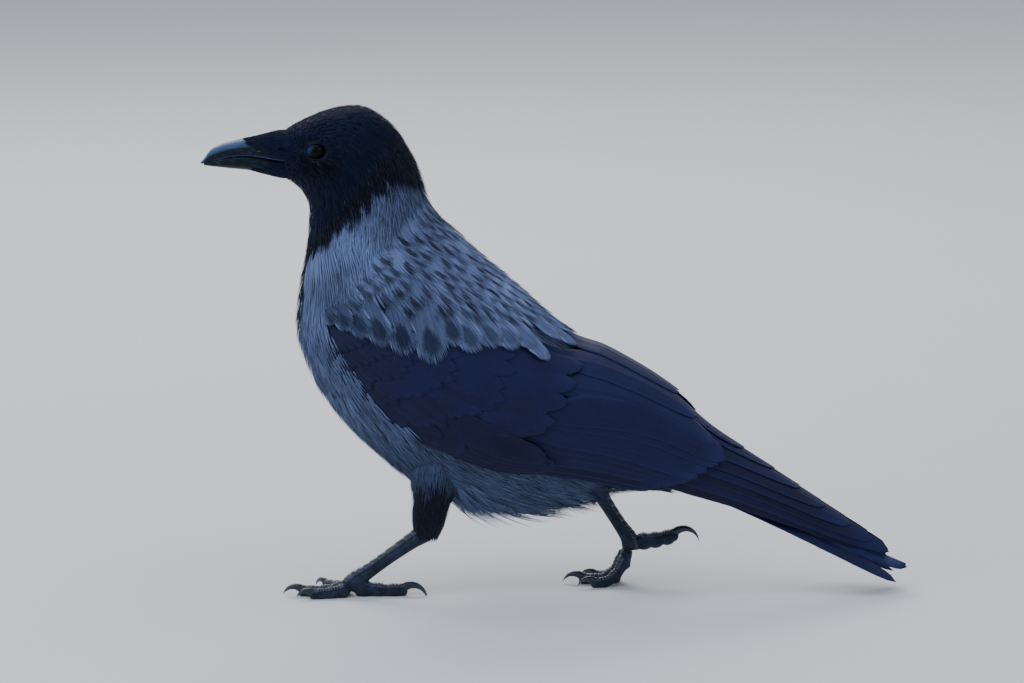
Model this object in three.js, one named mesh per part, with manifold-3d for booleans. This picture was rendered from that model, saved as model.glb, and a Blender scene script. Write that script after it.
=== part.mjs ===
// A life-size hooded crow, walking with its left leg forward.
//
// Millimetres, +Z up. While the bird is drawn, x runs back from the tip of the bill, y is
// negative on the bird's left, and z is the height over the floor. At the end the whole
// group is moved so that the origin is at the bottom centre of its box.

import * as THREE from "three";
import { mergeVertices } from "three/addons/utils/BufferGeometryUtils.js";
import Module from "manifold-3d";

const wasm = await Module();
wasm.setup();

// ---------------------------------------------------------------- driving dimensions

const GAP = 0.3; // between pieces that touch
const LAYER_GAP = 0.55; // grown round a feather group that is cut out of the one below it
const LEFT = -1;
const RIGHT = 1;
const SIDES = { left: LEFT, right: RIGHT };

const BODY_COLUMNS = 18; // facets round the body
const BODY_STEP = 2 / 3; // length of a facet along it, in rings of the list below
const FULLNESS = 0.94; // 1 is an ellipse, less is squarer

// The body from the face to the root of the tail. Each row is one ring: the point of the
// ring on the back, the point below it, both as [x, z], and half the width.
const BODY = [
  { name: "face", back: [46, 256.2], front: [45.9, 230], half: 9 },
  { name: "forehead", back: [51.5, 259.6], front: [49.5, 228], half: 13.6 },
  { name: "brow", back: [58.5, 263.1], front: [53.5, 225], half: 16.8 },
  { name: "eyes", back: [67, 266.6], front: [56.5, 221.2], half: 19 },
  { name: "crown", back: [77, 269.3], front: [58.8, 216.8], half: 20.8 },
  { name: "ears", back: [88, 269.7], front: [59.6, 211.6], half: 22 },
  { name: "hindcrown", back: [98, 265.3], front: [59.2, 206], half: 22.8 },
  { name: "occiput", back: [106.5, 258], front: [58.8, 200], half: 23.6 },
  { name: "nape", back: [113.5, 247.5], front: [58.2, 193.5], half: 25 },
  { name: "throat", back: [118.8, 238], front: [57, 186], half: 27.6 },
  { name: "neck", back: [122.8, 226], front: [54.5, 174], half: 31.5 },
  { name: "bib", back: [126, 215.6], front: [52.4, 158.5], half: 36.5 },
  { name: "shoulder", back: [129.4, 207.2], front: [52.2, 142], half: 41 },
  { name: "upper breast", back: [132.8, 202.8], front: [57.8, 126.5], half: 44.5 },
  { name: "breast", back: [137.2, 199], front: [66.5, 109.5], half: 46.6 },
  { name: "mantle", back: [146.5, 192.3], front: [79.5, 92.6], half: 48 },
  { name: "keel", back: [160, 181.5], front: [96.5, 76.5], half: 48.8 },
  { name: "flank", back: [175, 169], front: [115.5, 61], half: 48.6 },
  { name: "belly", back: [190, 155], front: [137, 50.5], half: 46.8 },
  { name: "back", back: [205, 140.5], front: [158, 45.5], half: 43 },
  { name: "lower belly", back: [219, 128.6], front: [180, 45.5], half: 37.5 },
  { name: "vent", back: [233, 116.6], front: [201, 51], half: 31 },
  { name: "rump", back: [246, 105.4], front: [220, 54.5], half: 24.5 },
  { name: "tail coverts", back: [258, 94], front: [240, 54.5], half: 18.5 },
  { name: "tail root", back: [269, 83], front: [258, 53], half: 13.5 },
];

// The surface that the folded wings lie in, from the shoulder to the wing tips.
const FOLD = [
  { name: "wrist", back: [126, 219], front: [48, 158], half: 37.5 },
  { name: "alula", back: [130, 210], front: [48, 141], half: 44 },
  { name: "lesser coverts", back: [134.5, 205], front: [53, 124], half: 48.6 },
  { name: "median coverts", back: [139, 201.5], front: [63, 106], half: 50.6 },
  { name: "elbow", back: [147, 193], front: [76, 88.5], half: 52 },
  { name: "scapulars", back: [160, 181.8], front: [93.5, 72], half: 52.6 },
  { name: "greater coverts", back: [174.8, 169.2], front: [113, 57], half: 52.2 },
  { name: "covert tips", back: [190, 155.6], front: [135, 46.5], half: 50.4 },
  { name: "inner secondaries", back: [205.4, 143.6], front: [157, 42], half: 47.2 },
  { name: "secondaries", back: [221, 137.6], front: [180, 41], half: 43.4 },
  { name: "tertials", back: [235.5, 129.6], front: [203, 41], half: 39.2 },
  { name: "tertial tips", back: [250, 120.4], front: [223, 40], half: 35 },
  { name: "primaries", back: [265, 109], front: [243, 38.5], half: 31 },
  { name: "secondary tips", back: [281.5, 94], front: [264, 35.5], half: 27.4 },
  { name: "inner primaries", back: [299, 81.6], front: [285, 31.5], half: 24 },
  { name: "middle primaries", back: [319, 68.4], front: [308, 26], half: 20.6 },
  { name: "outer primaries", back: [339.4, 55], front: [331, 19.5], half: 17 },
  { name: "long primaries", back: [359.6, 42.2], front: [353, 13], half: 13.4 },
  { name: "wing tip", back: [379, 30.4], front: [373, 8], half: 9 },
  { name: "past the tip", back: [396, 19], front: [391, 3], half: 6 },
];

const EYE = { x: 63.6, y: 11.6, z: 246.4, radius: 6.3 };
const SOCKET = { room: 0.7, halfLength: 6, halfHeight: 4.8, inner: 0.8, out: 22, depth: 6 };

const BILL_LENGTH = 45.4; // tip to the flat where it meets the face
const BILL_ROWS = 8;
const BILL_HALF_WIDTH = 8.2;

const MIDLINE_ANGLE = 0.06; // no wing comes nearer to the middle of the back than this
const CLAW_BASE = 0.8; // straight stretch of a claw where it meets its toe
const CLAW_RISE = 0.5; // how far over the middle of its toe a claw starts, in toe radii

const TAIL = {
  feathersPerSide: 6,
  // The arch is how far the outer feathers lie below the middle ones.
  root: { x: 250, z: 71, half: 11, thick: 7, arch: 6 },
  tip: { x: 388.5, z: 13.4, half: 21, thick: 2, arch: 13 },
  sag: 1,
  step: 0.7,
  notch: 0.02,
  roundness: 0.05,
  rows: 4,
};

// ---------------------------------------------------------------- small helpers

const mix = (a, b, t) => a + (b - a) * t;

function catmull(a, b, c, d, t) {
  const cubic = -a + 3 * b - 3 * c + d;
  const square = 2 * a - 5 * b + 4 * c - d;
  return 0.5 * (2 * b + (c - a) * t + square * t * t + cubic * t * t * t);
}

// A smooth value between the evenly spaced values of a list; place runs from 0 to its end.
function smoothAt(values, place) {
  const last = values.length - 1;
  const index = Math.min(Math.max(Math.floor(place), 0), last - 1);
  const at = (i) => values[Math.min(Math.max(i, 0), last)];
  return catmull(at(index - 1), at(index), at(index + 1), at(index + 2), place - index);
}

function makeLoft(rows) {
  return {
    last: rows.length - 1,
    backX: rows.map((row) => row.back[0]),
    backZ: rows.map((row) => row.back[1]),
    frontX: rows.map((row) => row.front[0]),
    frontZ: rows.map((row) => row.front[1]),
    half: rows.map((row) => row.half),
  };
}

const bodyLoft = makeLoft(BODY);
const foldLoft = makeLoft(FOLD);
const ringOf = (name) => BODY.findIndex((row) => row.name === name);

function ringAt(loft, place) {
  const back = new THREE.Vector2(smoothAt(loft.backX, place), smoothAt(loft.backZ, place));
  const front = new THREE.Vector2(smoothAt(loft.frontX, place), smoothAt(loft.frontZ, place));
  const up = back.clone().sub(front);
  const depth = up.length() / 2;
  up.normalize();
  const centre = back.clone().add(front).multiplyScalar(0.5);
  return { centre, up, depth, half: smoothAt(loft.half, place) };
}

const squared = (value) => Math.sign(value) * Math.abs(value) ** FULLNESS;
const unsquared = (value) => Math.sign(value) * Math.abs(value) ** (1 / FULLNESS);

// A point of a loft: the angle is 0 on the back and PI below, and lift stands off it.
function loftPoint(loft, place, angle, side, lift = 0) {
  const ring = ringAt(loft, place);
  const along = squared(Math.cos(angle)) * (ring.depth + lift);
  const across = squared(Math.sin(angle)) * (ring.half + lift);
  const x = ring.centre.x + ring.up.x * along;
  const z = ring.centre.y + ring.up.y * along;
  return new THREE.Vector3(x, side * across, z);
}

// Where a point of the side view lies on a loft, as its place and angle.
function locate(loft, [x, z]) {
  const offPlane = (place) => {
    const ring = ringAt(loft, place);
    return (x - ring.centre.x) * ring.up.y - (z - ring.centre.y) * ring.up.x;
  };
  let low = 0;
  let high = loft.last;
  for (let step = 0; step < 30; step += 1) {
    const middle = (low + high) / 2;
    if (offPlane(middle) > 0) low = middle;
    else high = middle;
  }
  const ring = ringAt(loft, low);
  const along = (x - ring.centre.x) * ring.up.x + (z - ring.centre.y) * ring.up.y;
  const cosine = unsquared(Math.min(Math.max(along / ring.depth, -1), 1));
  return { place: low, angle: Math.max(Math.acos(cosine), MIDLINE_ANGLE) };
}

// A closed mesh over rings of points. Each end is closed by a strip that joins the first
// half of its ring to the second, so a ring may be a circle or a flat, bent loop.
function skinOver(rings) {
  const count = rings[0].length;
  const positions = rings.flat().flatMap((point) => [point.x, point.y, point.z]);
  const faces = [];
  for (let row = 0; row + 1 < rings.length; row += 1) {
    for (let column = 0; column < count; column += 1) {
      const next = (column + 1) % count;
      const a = row * count + column;
      const b = row * count + next;
      faces.push(a, b, a + count, b, b + count, a + count);
    }
  }
  const closeEnd = (row, order) => {
    const start = row * count;
    for (let column = 0; column + 1 < count / 2; column += 1) {
      const [a, b] = [start + column, start + column + 1];
      const [c, d] = [start + count - 2 - column, start + count - 1 - column];
      faces.push(...(order > 0 ? [a, b, c, a, c, d] : [a, c, b, a, d, c]));
    }
  };
  closeEnd(0, -1);
  closeEnd(rings.length - 1, 1);
  const geometry = new THREE.BufferGeometry();
  geometry.setAttribute("position", new THREE.Float32BufferAttribute(positions, 3));
  geometry.setIndex(faces);
  return facingOut(geometry);
}

function facingOut(geometry) {
  const position = geometry.getAttribute("position");
  const index = geometry.getIndex();
  const [a, b, c] = [new THREE.Vector3(), new THREE.Vector3(), new THREE.Vector3()];
  let volume = 0;
  for (let corner = 0; corner < index.count; corner += 3) {
    a.fromBufferAttribute(position, index.getX(corner));
    b.fromBufferAttribute(position, index.getX(corner + 1));
    c.fromBufferAttribute(position, index.getX(corner + 2));
    volume += a.dot(b.cross(c));
  }
  if (volume < 0) {
    for (let corner = 0; corner < index.count; corner += 3) {
      const first = index.getX(corner);
      index.setX(corner, index.getX(corner + 1));
      index.setX(corner + 1, first);
    }
  }
  return geometry;
}

// ---------------------------------------------------------------- joining and cutting

function toSolid(geometry) {
  const plain = geometry.clone();
  plain.deleteAttribute("normal");
  plain.deleteAttribute("uv");
  const merged = mergeVertices(plain, 1e-4);
  return new wasm.Manifold(new wasm.Mesh({
    numProp: 3,
    vertProperties: Float32Array.from(merged.getAttribute("position").array),
    triVerts: Uint32Array.from(merged.getIndex().array),
  }));
}

function toGeometry(solid) {
  const mesh = solid.getMesh();
  const geometry = new THREE.BufferGeometry();
  geometry.setAttribute("position", new THREE.Float32BufferAttribute(mesh.vertProperties, 3));
  geometry.setIndex(Array.from(mesh.triVerts));
  return geometry;
}

const joined = (geometries) => geometries.map(toSolid).reduce((sum, one) => sum.add(one));

// What is left of a solid after cutting others out of it: its largest body.
function cutBy(solid, cutters) {
  const rest = cutters.reduce((left, cutter) => left.subtract(cutter), solid);
  const bodies = rest.decompose();
  return bodies.reduce((best, one) => (one.volume() > best.volume() ? one : best));
}

// ---------------------------------------------------------------- looks of the pieces

const LOOKS = {
  black: { color: 0x14161d, roughness: 0.55 },
  grey: { color: 0x8b8f96, roughness: 0.8 },
  wing: { color: 0x1a1f30, roughness: 0.45 },
  bill: { color: 0x17191f, roughness: 0.35 },
  leg: { color: 0x1c1f26, roughness: 0.5 },
  claw: { color: 0x101115, roughness: 0.3 },
  eye: { color: 0x150d08, roughness: 0.05 },
};

const crow = new THREE.Group();

function addPiece(name, shape, look) {
  const geometry = shape.isBufferGeometry ? shape : toGeometry(shape);
  const material = new THREE.MeshStandardMaterial({ ...LOOKS[look], metalness: 0 });
  const mesh = new THREE.Mesh(geometry, material);
  mesh.name = name;
  crow.add(mesh);
}

// ---------------------------------------------------------------- body

// The start may lie a little past the ring that the rows are counted from.
function bodyGeometry(from, to, start, grow) {
  const rings = [];
  for (let row = 0; row <= Math.round((to - from) / BODY_STEP); row += 1) {
    const place = Math.max(start, from + row * BODY_STEP);
    const ring = [];
    for (let column = 0; column < BODY_COLUMNS; column += 1) {
      const angle = (column / BODY_COLUMNS) * 2 * Math.PI;
      ring.push(loftPoint(bodyLoft, place, angle, RIGHT, grow));
    }
    rings.push(ring);
  }
  return skinOver(rings);
}

// The body is one loft, parted by thin cuts that lie in the planes of its rings.
const BODY_PARTS = [
  { name: "head", from: "face", to: "nape", look: "black" },
  { name: "neck", from: "nape", to: "shoulder", look: "black" },
  { name: "breast", from: "shoulder", to: "keel", look: "grey" },
  { name: "trunk", from: "keel", to: "rump", look: "grey" },
  { name: "rump", from: "rump", to: "tail root", look: "grey" },
];

// The hole that an eye sits in: a hollow for the ball that opens through a cone.
function eyeSocket(side) {
  const hollow = new THREE.SphereGeometry(EYE.radius + SOCKET.room, 10, 8);
  hollow.translate(EYE.x, side * EYE.y, EYE.z);
  const [right, left] = side === RIGHT ? [1, SOCKET.inner] : [SOCKET.inner, 1];
  const cone = new THREE.CylinderGeometry(right, left, SOCKET.depth, 10);
  cone.scale(SOCKET.halfLength, 1, SOCKET.halfHeight);
  cone.translate(EYE.x, side * (SOCKET.out - SOCKET.depth / 2), EYE.z);
  return joined([hollow, cone]);
}

function addBody() {
  BODY_PARTS.forEach((part) => {
    const from = ringOf(part.from);
    const to = ringOf(part.to);
    const start = from === 0 ? from : from + cutAllowance(from);
    let solid = toSolid(bodyGeometry(from, to, start, 0));
    if (part.name === "head") {
      solid = cutBy(solid, Object.values(SIDES).map(eyeSocket));
    }
    addPiece(part.name, solid, part.look);
  });
}

// The step along the loft that leaves a gap as wide as GAP on the narrower side of a cut.
function cutAllowance(place) {
  const here = ringAt(bodyLoft, place);
  const step = 0.05;
  const there = ringAt(bodyLoft, place + step);
  const along = new THREE.Vector2(-here.up.y, here.up.x).negate();
  const travel = (sign) => {
    const a = here.centre.clone().addScaledVector(here.up, sign * here.depth);
    const b = there.centre.clone().addScaledVector(there.up, sign * there.depth);
    return Math.abs(b.sub(a).dot(along));
  };
  return (GAP * 1.1 * step) / Math.min(travel(1), travel(-1));
}

function addEyes() {
  Object.entries(SIDES).forEach(([name, side]) => {
    const ball = new THREE.SphereGeometry(EYE.radius, 12, 7);
    ball.translate(EYE.x, side * EYE.y, EYE.z);
    ball.deleteAttribute("normal");
    ball.deleteAttribute("uv");
    addPiece(`eye_${name}`, mergeVertices(ball, 1e-3), "eye");
  });
}

// ---------------------------------------------------------------- bill

// Heights of the bill's ridge, cutting edge and lower edge, at even steps from its tip.
const CULMEN = [238.4, 245.2, 248.3, 250, 251.3, 252, 252.5, 252.9, 253.2];
const CUTTING_EDGE = [237.6, 239, 240.4, 241.6, 242.2, 242, 241.2, 240.2, 239.2];
const LOWER_EDGE = [237, 236.2, 235.6, 235, 234.5, 233.9, 232.8, 231.7, 230.8];

const billPlace = (t) => t * (CULMEN.length - 1);
const billHalfWidth = (t) => BILL_HALF_WIDTH * Math.sin((Math.PI / 2) * t ** 0.55) ** 1.1;

function billSection(t, topHeight, bottomHeight, half, grow) {
  const x = t * BILL_LENGTH;
  const middle = (topHeight + bottomHeight) / 2;
  const depth = (topHeight - bottomHeight) / 2 + grow;
  const ring = [];
  const corners = 10;
  for (let corner = 0; corner < corners; corner += 1) {
    const angle = ((corner + 0.5) / corners) * 2 * Math.PI;
    const y = Math.sin(angle) * (half + grow);
    ring.push(new THREE.Vector3(x, y, middle + Math.cos(angle) * depth));
  }
  return ring;
}

function upperBill(grow) {
  const rings = [];
  for (let row = 0; row <= BILL_ROWS; row += 1) {
    const t = mix(0.004, 1, (row / BILL_ROWS) ** 1.3);
    const top = smoothAt(CULMEN, billPlace(t));
    const edge = smoothAt(CUTTING_EDGE, billPlace(t));
    rings.push(billSection(t, top, edge, billHalfWidth(t), grow));
  }
  return skinOver(rings);
}

function lowerBill() {
  const rings = [];
  for (let row = 0; row <= BILL_ROWS; row += 1) {
    const t = mix(0.04, 1, (row / BILL_ROWS) ** 1.2);
    const top = smoothAt(CUTTING_EDGE, billPlace(t)) - GAP;
    const bottom = smoothAt(LOWER_EDGE, billPlace(t));
    rings.push(billSection(t, top, bottom, billHalfWidth(t) * 0.9, 0));
  }
  return skinOver(rings);
}

// The bristles that cover the nostrils: a cap over the root of the upper bill.
function nasalBristles() {
  const rows = 4;
  const columns = 6;
  const reach = 0.5;
  const rings = [];
  for (let row = 0; row <= rows; row += 1) {
    const t = mix(reach, 0.995, row / rows);
    const top = smoothAt(CULMEN, billPlace(t));
    const edge = smoothAt(CUTTING_EDGE, billPlace(t));
    const spread = mix(0.95, 1.75, (row / rows) ** 0.5);
    const thick = mix(0.8, 3.4, row / rows);
    const outer = [];
    const inner = [];
    for (let column = 0; column <= columns; column += 1) {
      const angle = mix(-spread, spread, column / columns);
      const shell = (grow) => new THREE.Vector3(
        t * BILL_LENGTH,
        Math.sin(angle) * (billHalfWidth(t) + grow),
        (top + edge) / 2 + Math.cos(angle) * ((top - edge) / 2 + grow),
      );
      outer.push(shell(thick));
      inner.unshift(shell(-1));
    }
    rings.push([...outer, ...inner]);
  }
  return skinOver(rings);
}

function addBill() {
  addPiece("bill_upper", upperBill(0), "bill");
  addPiece("bill_lower", lowerBill(), "bill");
  const bristles = cutBy(toSolid(nasalBristles()), [toSolid(upperBill(GAP))]);
  addPiece("nasal_bristles", bristles, "black");
}

// ---------------------------------------------------------------- feathers on the fold

// A fan of feathers side by side in the fold. Its root edge and its tips are drawn in the
// side view, from the upper edge down. Two columns make a feather: the line between two
// feathers, which stops short by the notch, and the middle of the vane, which swells.
function fan({ roots, tips, count, lift, thick, rows, notch, bow = 0 }, side, grow = 0) {
  const rootAt = roots.map((point) => locate(foldLoft, point));
  const tipAt = tips.map((point) => locate(foldLoft, point));
  const along = (edge, key, v) => smoothAt(edge.map((one) => one[key]), v * (edge.length - 1));
  const columns = 2 * count;
  const vane = (column, t) => {
    const v = column / columns;
    const between = column % 2 === 0;
    const reach = t * (between ? 1 - notch : 1);
    const place = mix(along(rootAt, "place", v), along(tipAt, "place", v), reach);
    const angle = mix(along(rootAt, "angle", v), along(tipAt, "angle", v), reach);
    return { place, angle: angle + bow * Math.sin(Math.PI * t), swell: between ? 0 : 0.5 };
  };
  const at = (column, t, height) => {
    const { place, angle, swell } = vane(column, t);
    return loftPoint(foldLoft, place, angle, side, height + swell);
  };
  const rings = [];
  for (let row = 0; row <= rows; row += 1) {
    const t = row / rows;
    const outer = [];
    const inner = [];
    for (let column = 0; column <= columns; column += 1) {
      outer.push(at(column, t, lift * Math.sin(Math.PI * mix(0.1, 0.9, t)) + grow));
      inner.unshift(at(column, t, -thick - grow));
    }
    const across = outer[0].clone().sub(outer.at(-1)).normalize().multiplyScalar(grow);
    [outer[0], inner.at(-1)].forEach((point) => point.add(across));
    [outer.at(-1), inner[0]].forEach((point) => point.sub(across));
    rings.push([...outer, ...inner]);
  }
  pushEndOut(rings[0], rings[1], grow);
  pushEndOut(rings.at(-1), rings.at(-2), grow);
  return toSolid(skinOver(rings));
}

// Moves an end ring away from the ring beside it.
function pushEndOut(end, beside, distance) {
  end.forEach((point, index) => {
    const away = point.clone().sub(beside[index]).normalize();
    point.addScaledVector(away, distance);
  });
}

// The feather groups of a folded wing, outermost first.
const WING = {
  scapulars: {
    roots: [[116, 206], [104, 186], [92, 170], [76, 156]],
    tips: [[212, 139], [205, 134], [192, 134], [172, 136], [150, 138], [132, 134]],
    count: 4, lift: 2.2, thick: 5, rows: 5, notch: 0.07,
  },
  coverts: {
    roots: [[92, 158], [78, 154], [66, 149], [66, 142]],
    tips: [[206, 132], [203, 114], [192, 102], [174, 97], [162, 90], [114, 87]],
    count: 5, lift: 1.6, thick: 6, rows: 4, notch: 0.05,
  },
  alula: {
    roots: [[73, 137], [73, 127]],
    tips: [[190, 78], [192, 70]],
    count: 2, lift: 1, thick: 6, rows: 4, notch: 0.03, bow: 0.05,
  },
  tertials: {
    roots: [[190, 156], [186, 132], [182, 104]],
    tips: [[261, 114], [272, 99], [284, 82], [279, 75]],
    count: 3, lift: 0.6, thick: 3.4, rows: 5, notch: 0.05,
  },
  secondaries: {
    roots: [[176, 106], [170, 94], [164, 80]],
    tips: [[288, 76], [274, 68], [264, 64], [248, 60]],
    count: 4, lift: -0.6, thick: 4, rows: 3, notch: 0.05,
  },
  primaries: {
    roots: [[242, 126], [228, 98], [208, 79], [190, 69]],
    tips: [[296, 86], [320, 69], [342, 52], [364, 36], [380, 23], [377, 19]],
    count: 5, lift: -2.2, thick: 3.4, rows: 5, notch: 0.03,
  },
};

// The scapulars lie over the coverts, these over the flight feathers, those over the body.
function addWing(name, side, body) {
  const above = [];
  Object.entries(WING).forEach(([group, shape]) => {
    const look = group === "scapulars" ? "grey" : "wing";
    const piece = cutBy(fan(shape, side), [body, ...above]);
    addPiece(`wing_${name}_${group}`, piece, look);
    above.push(fan(shape, side, LAYER_GAP));
  });
  return above;
}

// ---------------------------------------------------------------- tail

// One side of the tail: feathers stacked like a hand of cards, the middle pair on top.
// Each has two columns, its inner edge and its middle, and the last one its outer edge.
function tailSide(side) {
  const rings = [];
  for (let row = 0; row <= TAIL.rows; row += 1) {
    const t = row / TAIL.rows;
    const top = [];
    const bottom = [];
    for (let column = 0; column <= 2 * TAIL.feathersPerSide; column += 1) {
      const v = column / (2 * TAIL.feathersPerSide);
      const reach = t * (column % 2 ? 1 : 1 - TAIL.notch) * (1 - TAIL.roundness * v * v);
      const x = mix(TAIL.root.x, TAIL.tip.x, reach);
      const sag = TAIL.sag * Math.sin(Math.PI * reach);
      const arch = mix(TAIL.root.arch, TAIL.tip.arch, t) * v ** 1.6;
      const z = mix(TAIL.root.z, TAIL.tip.z, reach) + sag - arch;
      const y = side * (GAP / 2 + v * mix(TAIL.root.half, TAIL.tip.half, t));
      const step = column % 2 ? 0 : TAIL.step;
      top.push(new THREE.Vector3(x, y, z + step));
      bottom.unshift(new THREE.Vector3(x, y, z - mix(TAIL.root.thick, TAIL.tip.thick, t)));
    }
    rings.push([...top, ...bottom]);
  }
  return skinOver(rings);
}

function addTail(blocks) {
  Object.entries(SIDES).forEach(([name, side]) => {
    addPiece(`tail_feathers_${name}`, cutBy(toSolid(tailSide(side)), blocks), "wing");
  });
}

// ---------------------------------------------------------------- legs and feet

// A round limb along a list of joints, each with its own radius. What reaches under the
// floor is pressed flat on it, so that the soles are small flats at one level.
function limb(joints, { corners = 8, grow = 0, flat = true } = {}) {
  const points = joints.map(([x, y, z]) => new THREE.Vector3(x, y, z));
  const across = new THREE.Vector3(0, 0, 1).cross(points.at(-1).clone().sub(points[0]));
  const rings = points.map((point, index) => {
    const before = points[Math.max(index - 1, 0)];
    const after = points[Math.min(index + 1, points.length - 1)];
    const along = after.clone().sub(before).normalize();
    const side = across.clone().projectOnPlane(along).normalize();
    const up = along.clone().cross(side);
    const radius = joints[index][3] + grow;
    const end = index === 0 ? -grow : index === points.length - 1 ? grow : 0;
    const centre = point.clone().addScaledVector(along, end);
    const ring = [];
    for (let corner = 0; corner < corners; corner += 1) {
      const angle = ((corner + 0.5) / corners) * 2 * Math.PI;
      const spoke = centre.clone();
      spoke.addScaledVector(side, Math.sin(angle) * radius);
      spoke.addScaledVector(up, Math.cos(angle) * radius);
      if (flat) spoke.z = Math.max(spoke.z, 0);
      ring.push(spoke);
    }
    return ring;
  });
  return skinOver(rings);
}

// Joints between two ends of a toe, with a pad at the middle of each of its bones.
function toeJoints(from, knuckle, to, radius) {
  const curve = new THREE.QuadraticBezierCurve3(
    new THREE.Vector3(...from),
    new THREE.Vector3(...knuckle),
    new THREE.Vector3(...to),
  );
  const steps = 6;
  const joints = [];
  for (let step = 0; step <= steps; step += 1) {
    const t = step / steps;
    const point = curve.getPoint(t);
    const swell = step % 2 ? 1.1 : 0.94;
    joints.push([point.x, point.y, point.z, radius * swell * mix(1.05, 0.86, t)]);
  }
  return joints;
}

// A claw at the end of a toe: an arc that leaves it upwards by the lift, turns down by the
// bend, both in radians, and tapers to a point.
function clawJoints(joints, { claw: length, lift, bend }) {
  const end = new THREE.Vector3(...joints.at(-1));
  const before = new THREE.Vector3(...joints.at(-2));
  const along = end.clone().sub(before).normalize();
  const flat = new THREE.Vector3(along.x, along.y, 0).normalize();
  const start = end.clone().addScaledVector(along, GAP);
  start.z += joints.at(-1)[3] * CLAW_RISE;
  const rise = Math.asin(along.z);
  const steps = 4;
  const radius = joints.at(-1)[3] * 0.8;
  const tip = start.clone().addScaledVector(along, CLAW_BASE);
  const arc = [[...start, radius], [...tip, radius]];
  for (let step = 1; step <= steps; step += 1) {
    const t = step / steps;
    const angle = rise + mix(lift, lift - bend, t);
    tip.addScaledVector(flat, (Math.cos(angle) * length) / steps);
    tip.z += (Math.sin(angle) * length) / steps;
    arc.push([...tip, radius * mix(1, 0.12, t)]);
  }
  return arc;
}

const LEGS = {
  left: {
    thigh: [[131, -22, 80, 17], [128, -21.5, 63, 13.4], [126.4, -20.6, 52, 10],
      [125, -19.8, 43.5, 9.4], [124, -19, 37, 7.6]],
    tarsus: [[130, -19, 41, 4.6], [123, -18.7, 35.6, 5.2], [114.6, -18.5, 30, 4.3],
      [102, -18.2, 21, 3.8], [92, -18, 13.8, 4], [84.5, -18, 8.6, 4.8], [80.4, -18, 5.2, 4.4]],
    toes: [
      { from: [85, -17.8, 5.6], knuckle: [97, -17.4, 1.5], to: [110, -17, 2.9], radius: 4,
        claw: 17.5, lift: 0.75, bend: 2.1 },
      { from: [80.8, -14.4, 4.6], knuckle: [74, -5, 2.2], to: [68.5, 1, 2.4], radius: 3.2,
        claw: 10.5, lift: 0.9, bend: 1.9 },
      { from: [78, -18.4, 4.6], knuckle: [69, -18.6, 1.6], to: [56, -18.4, 2.5],
        radius: 3.6, claw: 12, lift: 0.8, bend: 1.8 },
      { from: [80.4, -21.4, 4.6], knuckle: [71.4, -25, 2.2], to: [62, -27, 2.4],
        radius: 3.2, claw: 10.5, lift: 0.9, bend: 1.9 },
    ],
  },
  right: {
    thigh: [[188, 19, 86, 15], [199, 18.4, 75, 13.6], [208, 17.8, 65, 10.4],
      [214, 17.4, 56, 7.4], [217, 17.2, 51, 5.4]],
    tarsus: [[213.6, 17.4, 60, 4.6], [218, 17.3, 53, 4.3], [224, 17.2, 43.4, 3.7],
      [230.4, 17.1, 33.4, 3.7], [234.8, 17, 27, 4.4], [236.4, 17, 23, 5],
      [236.2, 17, 19.6, 4.4]],
    toes: [
      { from: [240.6, 17, 24.4], knuckle: [250, 17, 24.4], to: [260, 17, 27.4], radius: 3.9,
        claw: 17, lift: 0.7, bend: 2.1 },
      { from: [234.6, 13.8, 18.6], knuckle: [229, 9, 0.6], to: [217, 6.4, 2.4],
        radius: 3.2, claw: 11, lift: 0.9, bend: 1.9 },
      { from: [233.6, 17.2, 18.4], knuckle: [228.6, 17.6, -0.8], to: [210.8, 18, 2.5],
        radius: 3.6, claw: 12.5, lift: 0.8, bend: 1.8 },
      { from: [234.8, 20.6, 18.6], knuckle: [230, 25.4, 0.6], to: [218, 28.4, 2.4],
        radius: 3.2, claw: 10.5, lift: 0.9, bend: 1.9 },
    ],
  },
};

function addLeg(name, leg, body, wing) {
  const thigh = toSolid(limb(leg.thigh, { corners: 10 }));
  const thighCutter = toSolid(limb(leg.thigh, { corners: 10, grow: GAP }));
  addPiece(`thigh_${name}`, cutBy(thigh, [body, ...wing]), "black");
  const tarsus = toSolid(limb(leg.tarsus));
  addPiece(`tarsus_${name}`, cutBy(tarsus, [thighCutter, body]), "leg");
  const taken = [toSolid(limb(leg.tarsus, { grow: GAP }))];
  leg.toes.forEach((toe, index) => {
    const joints = toeJoints(toe.from, toe.knuckle, toe.to, toe.radius);
    addPiece(`toe_${name}_${index + 1}`, cutBy(toSolid(limb(joints)), taken), "leg");
    taken.push(toSolid(limb(joints, { grow: GAP })));
    const claw = limb(clawJoints(joints, toe), { corners: 5 });
    addPiece(`claw_${name}_${index + 1}`, claw, "claw");
  });
}

// ---------------------------------------------------------------- the whole bird

addBody();
addEyes();
addBill();

const bodyCutter = toSolid(bodyGeometry(0, bodyLoft.last, 0, GAP));
const wingCutters = {};
Object.entries(SIDES).forEach(([name, side]) => {
  wingCutters[name] = addWing(name, side, bodyCutter);
});
addTail([bodyCutter]);
Object.entries(LEGS).forEach(([name, leg]) => {
  addLeg(name, leg, bodyCutter, wingCutters[name]);
});

const box = new THREE.Box3().setFromObject(crow);
const centre = box.getCenter(new THREE.Vector3());
crow.position.set(-centre.x, -centre.y, -box.min.z);

export default crow;
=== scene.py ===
"""The looks of a life-size hooded crow, walking with its left leg forward.

The bird is drawn in millimetres: x runs back from the tip of the bill, y is negative on the
bird's left, and z is the height over the floor. place_in_frame() takes it into the row frame.
"""
import math

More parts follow.
